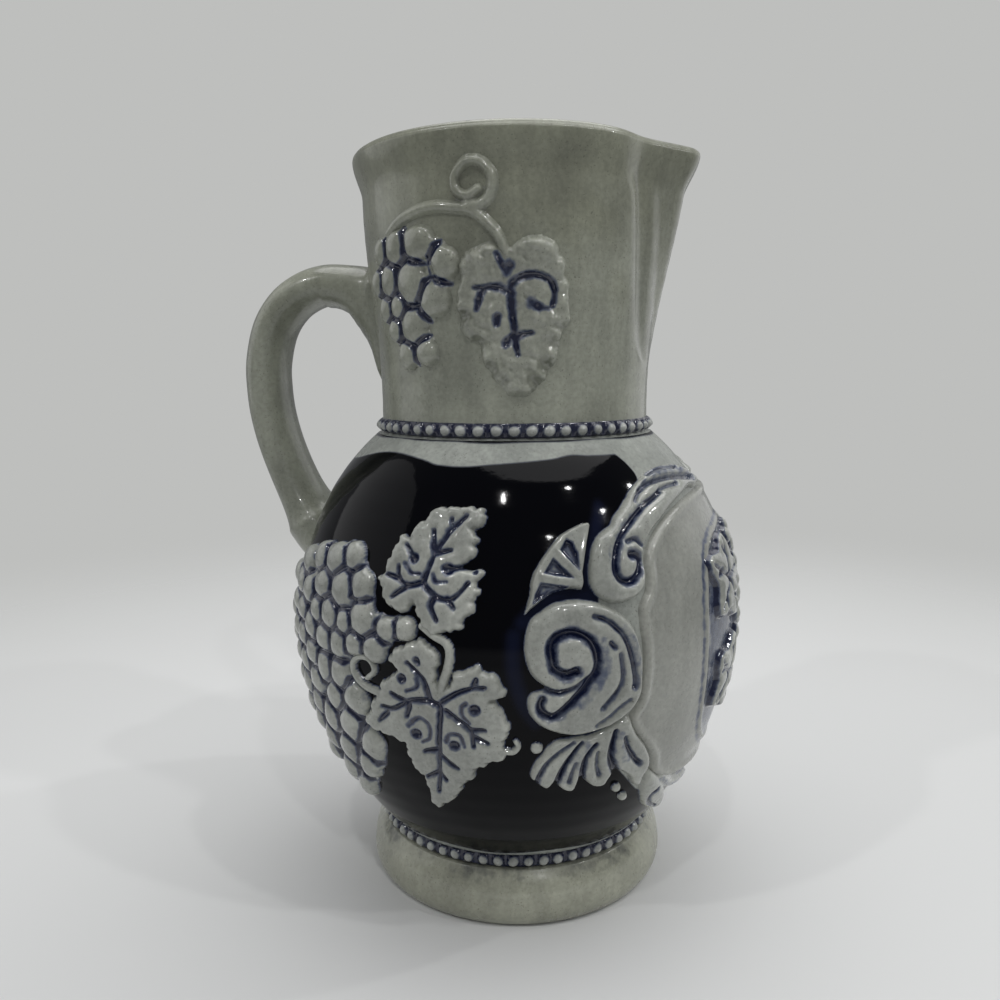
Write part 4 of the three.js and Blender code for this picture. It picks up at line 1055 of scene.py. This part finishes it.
UPPER_SCROLL = [
    (50.5, 36.5), (44, 40.5), (36.2, 43.4), (26.5, 43.9), (20.3, 42.4), (16.3, 40.1), (13.4, 38.4),
    (11.1, 36.1), (8.6, 33.6), (6.4, 31.6), (4.8, 29.5), (2.7, 28.3), (0.9, 27), (-0.7, 25.1),
    (-1.8, 22.5), (-2.6, 19.4), (-2.9, 16.6), (-2.4, 14.4), (-0.9, 12.4), (1.5, 11), (3.5, 10.6),
    (6.7, 10.7), (9.6, 11.5), (11.8, 13.2), (12.7, 15.5), (12.8, 17.9), (12.6, 20.4), (13.4, 22.8),
    (15.2, 25.1), (17.8, 27.3), (21.4, 29.5), (26.1, 32.1), (32.5, 34.4), (39.9, 36), (46, 35.2)]
UPPER_SCROLL_LINES = [
    ([(22.5, 36.2), (19.6, 34.9), (15.5, 33.2), (11.7, 30.6), (8.4, 27.8), (6, 24.8), (4.8, 22.2),
      (4.1, 19.4), (4.3, 17.2), (5.7, 15.6), (7.8, 15.3), (9.6, 16.3), (10.8, 18.1), (11.1, 20.1),
      (10.2, 21.4), (8.8, 21.6)], 1.2, 2.1, 1.15, 1.0),
    ([(8.3, 24.8), (10.6, 25.1), (12.4, 23.4)], 1.2, 0.9, 0.7, 0.8),
    ([(19.8, 41.3), (23.2, 42.4), (28.3, 42.8), (35, 41.9)], 0.9, 1.1, 0.6, 0.7),
    ([(15.2, 37.1), (19.4, 38.9), (26.1, 39.6), (34.2, 39.2), (44.4, 37.8)], 1.2, 1.8, 0.9, 0.75),
    ([(22.3, 36.6), (26.1, 37.3), (30.9, 37.5)], 0.9, 1.1, 0.6, 0.7),
    ([(13.1, 34.5), (14.7, 36.6), (17.3, 38.9)], 0.9, 0.9, 0.6, 0.75)]
UPPER_SCROLL_TINTS = [
    ([(14, 36), (20, 40.4), (28, 41.3), (38, 40.2)], 1.5, 3.2, 0.42),
    ([(14.5, 33.6), (9.5, 29.5), (5.6, 25.5), (3.2, 21), (3.2, 17)], 3.0, 3.2, 0.34)]
LOWER_SCROLL = [
    (-17.6, 8), (-15.2, 9.8), (-12.4, 11.5), (-9.3, 12.3), (-5.8, 12.3), (-2.2, 11.6), (1.4, 10.1),
    (4.4, 8.3), (7, 6.1), (9, 2.9), (10.1, 0), (10.8, -3.8), (10.9, -7.7), (10.8, -11.6), (9.9, -14.1),
    (8.3, -16.4), (6, -18.2), (3.1, -19.9), (0.1, -20.7), (-3.2, -21.3), (-6.8, -21.5), (-10, -20.9),
    (-12.9, -19.8), (-15.3, -18.3), (-17.3, -16.1), (-18.3, -14), (-18.5, -11.9), (-17.9, -10.1),
    (-16.3, -9.2), (-14, -8.7), (-15.7, -7.2), (-17.5, -5.4), (-18.9, -2.2), (-19.3, 1.4), (-18.9, 4.3)]
LOWER_SCROLL_LINES = [
    ([(-7.1, -4.5), (-8.8, -5.1), (-10.6, -4.9), (-12.3, -3.6), (-12.9, -1.6), (-13.1, 0.8),
      (-12.6, 2.9), (-11, 4.2), (-8.6, 4.8), (-5.8, 4.1), (-3.5, 2.3), (-2.3, 0), (-1.8, -2.5),
      (-2.2, -4.9), (-3.9, -7.3), (-5.6, -9.6), (-7.4, -11.5), (-9.7, -13.9), (-11.5, -15.3),
      (-13.1, -15.5), (-14.8, -14.4), (-15.5, -12.5), (-14.9, -11)], 2.4, 1.8, 1.25, 1.0),
    ([(-2.5, 8.1), (0, 7.2), (2.4, 5.5), (4.9, 2.8), (6.5, -0.6), (7.6, -4.5), (8.4, -8.5),
      (8.2, -10.3)], 1.1, 1.5, 0.8, 0.85),
    ([(4.1, -1.5), (4.7, -4.8), (4.8, -7.9), (3.8, -10.3), (1.8, -12.6), (-0.1, -14.7)],
     1.0, 1.2, 0.7, 0.75),
    ([(7.3, -13.5), (4.1, -15.4), (1.6, -17.4), (-1.3, -19.1)], 0.9, 0.9, 0.5, 0.5),
    ([(-14, -8.7), (-11.9, -9.4), (-9.6, -9.3), (-7, -8.5), (-4.4, -6.5)], 1.4, 0.9, 0.9, 0.9),
    ([(1.5, 1.5), (2.8, 0.1)], 1.1, 1.1, 0.6, 0.85)]
LOWER_SCROLL_TINTS = [
    ([(-0.6, 2.5), (0.4, -3), (-1.2, -7), (-5.5, -12.5)], 2.4, 3.6, 0.42),
    ([(5.5, 5), (8.2, -1), (9.4, -7)], 2.2, 2.4, 0.34)]
PALMETTE = [
    (4.9, -18.5), (2.3, -19.7), (-0.6, -21.2), (-3.6, -21.9), (-6.8, -22), (-9.9, -22.3), (-12.2, -23.5),
    (-14.1, -26), (-15.7, -28.8), (-16.6, -32.2), (-15.7, -34.5), (-13.8, -35.9), (-12.3, -37),
    (-10.9, -36.1), (-10.1, -34.9), (-8.9, -37), (-6.7, -38.4), (-4.8, -38), (-4.1, -35.4),
    (-3.5, -34.2), (-2.2, -36.1), (-0.4, -37.8), (1.5, -38.2), (3.3, -37.7), (4.1, -35.8), (5, -34.4),
    (6.3, -34.1), (7.9, -35.2), (10.1, -37.2), (11.7, -40.2), (13.6, -41.7), (14.7, -40.6), (15, -37.8),
    (15.9, -36.1), (16.4, -33.5), (15.4, -30.6), (13.6, -27.5), (10.9, -24.1), (9, -20.8), (7.9, -18.6)]
PALMETTE_LINES = [
    ([(-6.7, -23.2), (-9.7, -25.1), (-12.7, -28.4), (-14.3, -32), (-14.7, -34.9)], 0.8, 1.2, 0.7, 0.8),
    ([(-4.7, -23.4), (-6.5, -25.8), (-8.5, -29.7), (-9.7, -34), (-10.1, -36.6)], 0.9, 1.6, 1.1, 1.0),
    ([(-5.6, -29.2), (-6.3, -31.8), (-6.7, -35)], 0.7, 0.9, 0.6, 0.7),
    ([(-1.1, -24.2), (-3.1, -27.4), (-3.7, -31), (-3.7, -34.8)], 0.9, 1.6, 1.1, 1.0),
    ([(-0.3, -26.7), (-0.1, -30.7), (0.9, -34.1)], 0.7, 1.0, 0.6, 0.7),
    ([(3.8, -21.4), (3.2, -25.3), (3.4, -29.2), (5.1, -33.4)], 1.2, 2.0, 1.2, 1.0),
    ([(6.8, -23.7), (8.1, -27.3), (10.5, -31), (12.3, -32.8)], 0.9, 1.3, 0.8, 0.9)]
PALMETTE_TINTS = [([(-3, -23), (-8, -33)], 3.0, 5.0, 0.3), ([(5.4, -22), (8, -30)], 2.4, 4.0, 0.36)]
BUD = [(16.3, -37.6), (15.7, -42.1), (16.5, -47.3), (19.6, -53), (25.9, -58), (29.6, -57), (28.6, -51),
       (23, -42.7), (18.9, -38.3)]
BUD_LINE = [(21.9, -45.4), (19.6, -46.7), (20.2, -50.5), (24.3, -54)]
BUD_WING = [(22.5, -42.0), (28.5, -47.5), (35.0, -50.0), (44.0, -51.5)]
PEARLS = [(-15.5, -24.6, 1.5, 1.5, 0), (7.3, -40.6, 1.3, 1.3, 0), (10.2, -44.8, 1.3, 1.3, 0)]
# Edge of the medallion's field and the plain oval moulding round the emblem: angle and height
FIELD_EDGE = [
    (0, 118.2), (-22.9, 117.4), (-35.4, 115.2), (-43.2, 112.4), (-48, 109.2), (-50.7, 106.3),
    (-51.6, 103.3), (-51.8, 99.8), (-52.6, 97.1), (-54.8, 93.6), (-54.6, 88.2), (-54, 83.1),
    (-54, 75.4), (-54.7, 70.2), (-56.4, 67.4), (-56.8, 64.6), (-54.3, 60.3), (-50.3, 55.4),
    (-47.4, 50.8), (-46, 46.8), (-38.5, 42.6), (-22, 40.8), (0, 39.8)]
OVAL = [
    (0, 108.5), (-14, 108), (-24, 105.6), (-29.2, 101.1), (-32.3, 91.4), (-32.6, 80.8), (-31.8, 69.4),
    (-30.6, 60.7), (-27.5, 53.5), (-20, 48.2), (-9, 46.4), (0, 46)]


upper_leaf_hub = Hub(belly_wall, -102.5, WIDEST + 18.5)
lower_leaf_hub = Hub(belly_wall, -101.5, WIDEST - 10.0)
bunch_hub = Hub(belly_wall, -137.0, WIDEST - 7.0)
cartouche_hub = Hub(belly_wall, -64.0, WIDEST + 3.0)
front_hub = Hub(belly_wall, 0.0, WIDEST)
neck_grape_hub = Hub(neck_wall, -120.0, RIM - 38.0)
neck_vine_hub = Hub(neck_wall, -105.0, RIM - 20.0)
neck_leaf_hub = Hub(neck_wall, -83.0, RIM - 39.0)


def draw_leaf(patch, outline, veins, arcs=(), eyes=(), height=2.4, shoulder=1.0, crown=0.75,
              vein_width=1.5, depth=0.8, tooth=0.7):
    """A cut-out leaf, puffed between its veins, with drilled eyes and cobalt in every line."""
    lines = [curved(vein) for vein in veins]
    edge = toothed(outline, tooth, len(veins))
    patch.raise_form(edge, height, lines, crown, reach=2.4, shoulder=shoulder)
    patch.roughen(5.0, 0.14, len(outline))
    patch.melt(2)
    for arc in arcs:
        patch.cut(curved(arc), 0.8 * vein_width, 0.5 * vein_width, 0.6 * depth, 0.9)
    for line in lines:
        patch.cut(line, vein_width, 0.6 * vein_width, depth)
    for x, y, radius in eyes:
        patch.drill(x, y, radius)


def make_leaves():
    upper = Patch(upper_leaf_hub, (-17.0, -15.0, 16.0, 22.0))
    draw_leaf(upper, UPPER_LEAF, UPPER_LEAF_VEINS, UPPER_LEAF_ARCS, UPPER_LEAF_EYES)
    upper.stain_foot()
    upper.make("upper_leaf")

    lower = Patch(lower_leaf_hub, (-27.0, -35.0, 23.5, 21.0))
    draw_leaf(lower, LOWER_LEAF, LOWER_LEAF_VEINS, LOWER_LEAF_ARCS, LOWER_LEAF_EYES)
    lower.raise_cords(LEAF_CORDS)
    lower.stain_foot()
    lower.make("lower_leaf")


def make_neck_relief():
    """Leaf, vine with its curl, and grapes on the neck, softer than the relief below."""
    leaf = Patch(neck_leaf_hub, (-17.0, -30.5, 17.0, 15.0))
    draw_leaf(leaf, NECK_LEAF, NECK_LEAF_VEINS, height=1.35, shoulder=1.6, crown=0.86, vein_width=2.0,
              depth=0.38, tooth=0.4)
    leaf.swell(NECK_LEAF_LOBES, 4.2, 0.9)
    leaf.swell(NECK_LEAF_LUMPS, 1.9, 1.0)
    leaf.swell(NECK_LEAF_DENTS, 1.8, -1.1)
    # Painted shade in five of the dents, where the leaf's notches fall into shadow.
    leaf.darken(NECK_LEAF_DENTS[:5], 2.2, 2.4)
    leaf.roughen(3.6, 0.3, 7)
    leaf.ring(*NECK_LEAF_RING)
    for stroke in NECK_LEAF_STROKES:
        leaf.cut(*stroke)
    leaf.make("neck_leaf", "neck_relief_glaze")

    vine = Patch(neck_vine_hub, (-22.0, -18.0, 17.5, 13.5))
    vine.raise_cords(VINE_CORDS)
    vine.melt(3)
    vine.make("neck_vine", "neck_relief_glaze")

    grapes = Patch(neck_grape_hub, (-23.0, -26.0, 16.5, 18.0))
    grapes.domes(NECK_GRAPES, 2.7, valley=0.3)
    grapes.melt(2)
    grapes.make("neck_grapes", "neck_relief_glaze")


def make_fan():
    """Fan with three pierced openings, cobalt pooled along their edges."""
    fan = Patch(cartouche_hub, (-21.0, 6.5, 1.5, 32.5), FINE_STEP)
    fan.raise_form(FAN, 2.3, FAN_RIBS, crown=-0.35, reach=2.0, shoulder=1.1)
    fan.melt(1)
    for opening in FAN_OPENINGS:
        inside = depth_inside(opening, fan.x, fan.y)
        fan.height -= 1.3 * ease(inside / 0.8 + 0.35)
        pool = 0.85 * ease(inside / 0.6 + 0.8) * (1.0 - 0.55 * ease((inside - 0.7) / 0.8))
        fan.wash = np.maximum(fan.wash, pool)
    fan.stain_foot()
    fan.make("fan")


def make_scroll(name, box, step, outline, lines, tints, height, crown, reach):
    """A modelled scroll: full between its cut lines, with brushed washes beside them."""
    scroll = Patch(cartouche_hub, box, step)
    paths = [curved(points) for points, *_ in lines]
    scroll.raise_form(curved(outline, closed=True, steps=3), height, paths, crown, reach, shoulder=1.3)
    scroll.roughen(9.0, 0.10, len(outline))
    scroll.melt(2)
    for path, (_, *widths_depth_wash) in zip(paths, lines):
        scroll.cut(path, *widths_depth_wash)
    for points, width_from, width_to, wash in tints:
        scroll.tint(curved(points), width_from, width_to, wash)
    scroll.melt(1)
    scroll.stain_foot()
    scroll.make(name)


def make_cartouche():
    """The scrollwork beside the medallion, from the fan at its top to the knob and the pearls."""
    make_fan()
    make_scroll("upper_scroll", (-5.5, 6.5, 53.0, 47.0), STEP, UPPER_SCROLL, UPPER_SCROLL_LINES,
                UPPER_SCROLL_TINTS, height=2.5, crown=1.35, reach=3.0)
    make_scroll("lower_scroll", (-22.0, -24.0, 13.5, 14.5), STEP, LOWER_SCROLL, LOWER_SCROLL_LINES,
                LOWER_SCROLL_TINTS, height=2.6, crown=1.45, reach=3.2)
    make_scroll("palmette", (-19.0, -44.0, 19.0, -15.0), FINE_STEP, PALMETTE, PALMETTE_LINES,
                PALMETTE_TINTS, height=2.2, crown=1.2, reach=1.8)

    knob = Patch(cartouche_hub, (13.0, -60.5, 47.0, -35.5), FINE_STEP)
    knob.raise_cords([(BUD_WING, 4.6, 1.6, 1.6)])
    knob.raise_form(curved(BUD, closed=True), 2.2, [], crown=1.3, reach=3.0, shoulder=1.3)
    knob.melt(2)
    knob.cut(curved(BUD_LINE), 1.3, 0.9, 0.8, 0.9)
    knob.tint(curved(BUD_WING), 2.4, 1.2, 0.45)
    knob.stain_foot()
    knob.make("scroll_knob")

    pearls = Patch(cartouche_hub, (-18.5, -47.0, 12.5, -21.5), PEARL_STEP)
    pearls.domes(PEARLS, 1.5, valley=0.3)
    pearls.stain_foot(0.7)
    pearls.make("pearl")


def packed(outline, width, length, seed, clear_of):
    """Grapes in staggered columns inside an outline and clear of other outlines."""
    rng = np.random.default_rng(seed)
    centres = []
    for column in range(-9, 10):
        for row in range(-9, 10):
            x = column * width
            y = (row + (column % 2) * 0.5) * length
            spot = np.array([[x]]), np.array([[y]])
            if depth_inside(outline, *spot)[0, 0] < 0.0:
                continue
            if any(depth_inside(other, *spot)[0, 0] > -0.55 * width for other in clear_of):
                continue
            dx, dy, grow, turn = rng.uniform(-1.0, 1.0, 4)
            centres.append((x + 0.7 * dx, y + 0.8 * dy, width * (0.52 + 0.06 * grow),
                            length * (0.50 + 0.06 * grow), 12.0 * turn))
    return centres


# Grapes that the photo shows, from the bunch's hub, then the ones round the corner of the belly
BUNCH = [
    (13.1, 30, 2.8, 3.3, -25), (5.9, 28.1, 4.2, 3.8, -27), (-1.5, 27.5, 3.4, 3.4, -33),
    (-10.4, 25, 3.5, 3.9, -10), (18.2, 23.2, 3.2, 3.4, -16), (11.1, 21.1, 3.9, 4.3, -16),
    (2.2, 21, 4.1, 3.6, -20), (-6.4, 17.8, 3.6, 3.6, -10), (20, 14.9, 3.7, 4, -7),
    (13.4, 13, 2.6, 3.2, -5), (7.1, 13.9, 3.6, 3.9, -7), (0.2, 13.5, 3.1, 3.4, -7),
    (27.8, 13.7, 2.6, 2.9, -5), (33.1, 14.3, 2.5, 2.9, -5), (17.3, 8.2, 2.8, 3, 1),
    (11.3, 7, 3.3, 3.8, 3), (4.4, 7, 3.6, 3.7, 4), (24.3, 8, 3.2, 3.5, 1), (4, -0.8, 3.3, 4.4, 13),
    (10.7, -1.3, 3.5, 4.1, 11), (15.9, -6.7, 4.2, 4, 13), (7.2, -8.1, 3.6, 4.5, 18),
    (11.6, -15, 4.5, 4.8, 21), (2.4, -15.8, 3.8, 4.6, 22), (18, -19.3, 3.7, 4.4, 21),
    (7.3, -24.2, 4.4, 4.6, 25), (13.7, -26.8, 3.6, 4.3, 27), (3.2, -32.3, 3.8, 4.6, 30),
    (7.1, -36.3, 3.4, 4.2, 30),
    (-3.2, 8.6, 3.5, 3.9, 0), (-3.4, 1.2, 3.5, 3.9, 0), (-2.6, -6.4, 3.6, 4.0, 10),
    (-4.6, -13.6, 3.5, 3.9, 10), (-2.4, -23.4, 3.8, 4.2, 15), (-7.6, -20.2, 3.4, 3.9, 10),
    (-5.6, -29.2, 3.4, 4.0, 15), (-13.4, 18.6, 3.6, 4.0, 0), (-10.4, 11.6, 3.5, 3.8, 0),
    (-10.6, 4.4, 3.5, 3.9, 0), (-10.2, -2.8, 3.5, 3.9, 5), (-11.8, -10, 3.5, 3.9, 5),
    (-14.2, -17, 3.3, 3.8, 10), (-17.8, 12.4, 3.5, 3.9, 0), (-17.8, 5, 3.4, 3.9, 0),
    (-17.4, -2.4, 3.4, 3.8, 0), (-18.6, -9.6, 3.3, 3.7, 5), (-20.6, 19.4, 3.4, 3.8, 0),
    (-24.6, 8.6, 3.3, 3.8, 0), (-24.4, 1.4, 3.2, 3.7, 0)]


def make_belly_grapes():
    bunch = Patch(bunch_hub, (-31.0, -46.0, 40.0, 38.0), BUNCH_STEP)
    grapes = [(x, y, 1.07 * half_width, 1.03 * half_height / math.cos(math.radians(lean)), -lean)
              for x, y, half_width, half_height, lean in BUNCH]
    bunch.domes(grapes, 3.0, valley=0.6, outer_wash=0.15)
    bunch.melt(2)
    bunch.stain_foot(0.9)
    bunch.make("grape_bunch")


# Emblem: place, size and turn of each leaf, and the outline that the grapes fill
EMBLEM_LEAVES = {
    "upper_right": (-21.5, 12.5, 12.5, 150.0), "upper_left": (21.5, 12.5, 12.5, 30.0),
    "lower_right": (-20.0, -14.5, 11.5, 215.0), "lower_left": (20.0, -14.5, 11.5, -35.0)}
EMBLEM_BUNCH = [(-13, 24), (13, 24), (11, 0), (9, -20), (4, -30), (-4, -30), (-9, -20), (-11, 0)]
ON_FIELD = -0.8                # the emblem starts this far out from the wall, inside the field


def on_front(angles_and_heights):
    """The places on both sides of the front, in mm across and up from its middle."""
    angle, z = np.array(angles_and_heights, float).T
    start, *up = np.interp([WIDEST, *z], belly_wall.z, belly_wall.length)
    half = np.stack([np.radians(angle) * belly_radius(z), np.array(up) - start], -1)
    return np.vstack([half, half[-2:0:-1] * [-1.0, 1.0]])


def make_field():
    """The medallion: a thin smooth field with a rolled edge and a plain oval moulding."""
    outline = curved(on_front(FIELD_EDGE), closed=True, steps=2)
    field = Patch(front_hub, (-66.0, -47.0, 66.0, 43.0), FIELD_STEP)
    field.raise_form(outline, 0.85, [], crown=0.0, reach=2.0, shoulder=1.4)
    depth = depth_inside(outline, field.x, field.y)
    field.height += 0.75 * np.exp(-((depth - 1.5) / 0.95) ** 2)
    oval = curved(on_front(OVAL), closed=True, steps=2)
    to_oval = distance_to(np.vstack([oval, oval[:1]]), field.x, field.y)
    field.height += 0.6 * np.exp(-(to_oval / 0.9) ** 2)
    beside_oval = 0.6 * np.exp(-((to_oval - 1.5) / 0.7) ** 2)
    in_oval = 0.6 * ease(depth_inside(oval, field.x, field.y) / 1.5 - 0.8)
    field.wash = np.maximum(beside_oval, in_oval)
    field.melt(1)
    field.make("medallion", "medallion_glaze", both_sides=False)


def make_emblem_leaf(name, x, y, size, turn):
    """A five-lobed vine leaf on the field, and the outline that it fills."""
    lean = math.radians(turn)
    t = np.radians(np.arange(0.0, 360.0, 4.0))
    teeth = 0.035 * np.abs((np.degrees(t) / 14.4) % 1.0 * 2.0 - 1.0)
    r = size * (0.83 + 0.15 * np.cos(5.0 * t) + teeth)
    edge = np.stack([x + r * np.cos(t + lean), y + r * np.sin(t + lean)], -1)
    middle = np.array([x, y])
    veins = []
    for lobe in range(5):
        way = lean + lobe * 2.0 * math.pi / 5.0
        ray = np.array([math.cos(way), math.sin(way)])
        side = np.array([-ray[1], ray[0]])
        fork = middle + 0.45 * size * ray
        veins.append([middle, fork + 0.3 * side, middle + 0.82 * size * ray])
        veins.append([fork, middle + 0.62 * size * ray + 0.2 * size * side])
    leaf = Patch(front_hub, (x - size - 2, y - size - 2, x + size + 2, y + size + 2), sunk=ON_FIELD)
    draw_leaf(leaf, edge, veins, height=3.15, crown=0.8, vein_width=1.3)
    leaf.wash = np.maximum(leaf.wash, 0.95 * ease((2.7 - leaf.height) / 0.8))
    leaf.make(f"emblem_leaf_{name}", both_sides=False)
    return edge


def make_medallion():
    make_field()
    edges = [make_emblem_leaf(name, *sizes) for name, sizes in EMBLEM_LEAVES.items()]
    grapes = Patch(front_hub, (-15.0, -35.0, 15.0, 29.0), sunk=ON_FIELD)
    centres = packed(EMBLEM_BUNCH, width=4.7, length=5.6, seed=31, clear_of=edges)
    grapes.domes(centres, 3.25, valley=1.1, outer_wash=0.8)
    grapes.melt(1)
    grapes.make("emblem_grapes", both_sides=False)


make_leaves()
make_neck_relief()
make_cartouche()
make_belly_grapes()
make_medallion()


# Floor, light and camera

FLOOR_RADIUS = 2.4
FLOOR_FADE = (0.12, 0.62)      # the floor fades out between these distances from the jug, in metres
BACKDROP = (0.515, 0.52, 0.51, 1.0)
SKY_LIGHT = (0.95, 0.97, 1.0, 1.0)
AIM = Vector((0.0, 0.0, 0.11))

# Lamps: place and size in metres, power in watts
LAMPS = {"ceiling": ((0.1, 0.35, 1.7), 2.0, 20.0), "window left": ((-1.5, 0.0, 0.7), 1.6, 3.4),
         "window right": ((1.1, 1.15, 0.45), 1.5, 2.6)}
# Small ceiling spots: the way to each from the jug, and its power in watts
SPOTS = {(-0.033, -0.507, 0.861): 2.6, (0.447, -0.287, 0.847): 2.8, (0.702, -0.265, 0.661): 3.6,
         (0.371, -0.704, 0.606): 3.0, (0.749, 0.154, 0.644): 3.2, (-0.525, -0.486, 0.699): 3.4}
SPOT_DISTANCE = 1.9
SPOT_CENTRE = Vector((0.0, 0.0, 0.1))
SPOT_SIZE = 0.07

# Camera fitted to the photograph: place in mm, angles in degrees, focal length in pixels
CAMERA_PLACE = (31.47, -256.28, 151.1)
HEADING = math.radians(8.0)
DIP = math.radians(8.65)
ROLL = math.radians(0.446)
FOCAL_LENGTH = 857.5
PHOTO_WIDTH = 1000.0
SENSOR_WIDTH = 36.0


def make_floor():
    """A pale floor that fades into the pale surroundings far from the jug."""
    bpy.ops.mesh.primitive_circle_add(vertices=96, radius=FLOOR_RADIUS, fill_type="NGON",
                                      location=(0.0, 0.0, 0.0))
    floor = bpy.context.object
    floor.name = "floor"
    material = bpy.data.materials.new("pale floor")
    material.use_nodes = True
    tree = material.node_tree
    place = node(tree, "ShaderNodeTexCoord", {}).outputs["Object"]
    tone = between(tree, noise(tree, place, 3.0, 2.0), 0.3, 0.7)
    colour = blend_colours(tree, tone, (0.64, 0.645, 0.64, 1.0), (0.66, 0.665, 0.66, 1.0))
    reach = node(tree, "ShaderNodeVectorMath", {0: place}, operation="LENGTH").outputs["Value"]
    set_or_link(tree, tree.nodes["Principled BSDF"], {
        "Base Color": colour, "Roughness": 0.9, "Specular IOR Level": 0.1,
        "Alpha": between(tree, reach, *FLOOR_FADE, 1.0, 0.0)})
    floor.data.materials.append(material)


def make_world():
    """Soft light all round, and the pale backdrop that only the camera sees."""
    world = bpy.data.worlds.new("soft studio")
    bpy.context.scene.world = world
    world.use_nodes = True
    tree = world.node_tree
    light = tree.nodes["Background"]
    set_or_link(tree, light, {"Color": SKY_LIGHT, "Strength": 0.2})
    seen = node(tree, "ShaderNodeBackground", {"Color": BACKDROP, "Strength": 1.0})
    by_camera = node(tree, "ShaderNodeLightPath", {}).outputs["Is Camera Ray"]
    choose = node(tree, "ShaderNodeMixShader", {0: by_camera, 1: light.outputs[0], 2: seen.outputs[0]})
    set_or_link(tree, tree.nodes["World Output"], {"Surface": choose.outputs[0]})


def add_lamp(name, place, size, watts):
    """A round lamp that faces the jug."""
    light = bpy.data.lights.new(name, "AREA")
    light.shape = "DISK"
    light.size = size
    light.energy = watts
    lamp = bpy.data.objects.new(name, light)
    bpy.context.scene.collection.objects.link(lamp)
    lamp.location = place
    lamp.rotation_euler = (AIM - Vector(place)).to_track_quat("-Z", "Y").to_euler()


def make_camera():
    level = math.cos(DIP)
    ahead = Vector((-math.sin(HEADING) * level, math.cos(HEADING) * level, -math.sin(DIP)))
    right = Vector((math.cos(HEADING), math.sin(HEADING), 0.0))
    up = right.cross(ahead)
    across = right * math.cos(ROLL) - up * math.sin(ROLL)
    upward = right * math.sin(ROLL) + up * math.cos(ROLL)
    data = bpy.data.cameras.new("camera")
    data.sensor_width = SENSOR_WIDTH
    data.lens = SENSOR_WIDTH * FOCAL_LENGTH / PHOTO_WIDTH
    data.clip_start = 0.01
    camera = bpy.data.objects.new("camera", data)
    bpy.context.scene.collection.objects.link(camera)
    turn = Matrix((across, upward, -ahead)).transposed().to_4x4()
    camera.matrix_world = Matrix.Translation(Vector(CAMERA_PLACE) * MM) @ turn
    bpy.context.scene.camera = camera


make_floor()
make_world()
for name, sizes in LAMPS.items():
    add_lamp(name, *sizes)
for number, (way, watts) in enumerate(SPOTS.items(), 1):
    add_lamp(f"spot {number}", SPOT_DISTANCE * Vector(way) + SPOT_CENTRE, SPOT_SIZE, watts)
make_camera()
bpy.context.scene.view_settings.view_transform = "Standard"
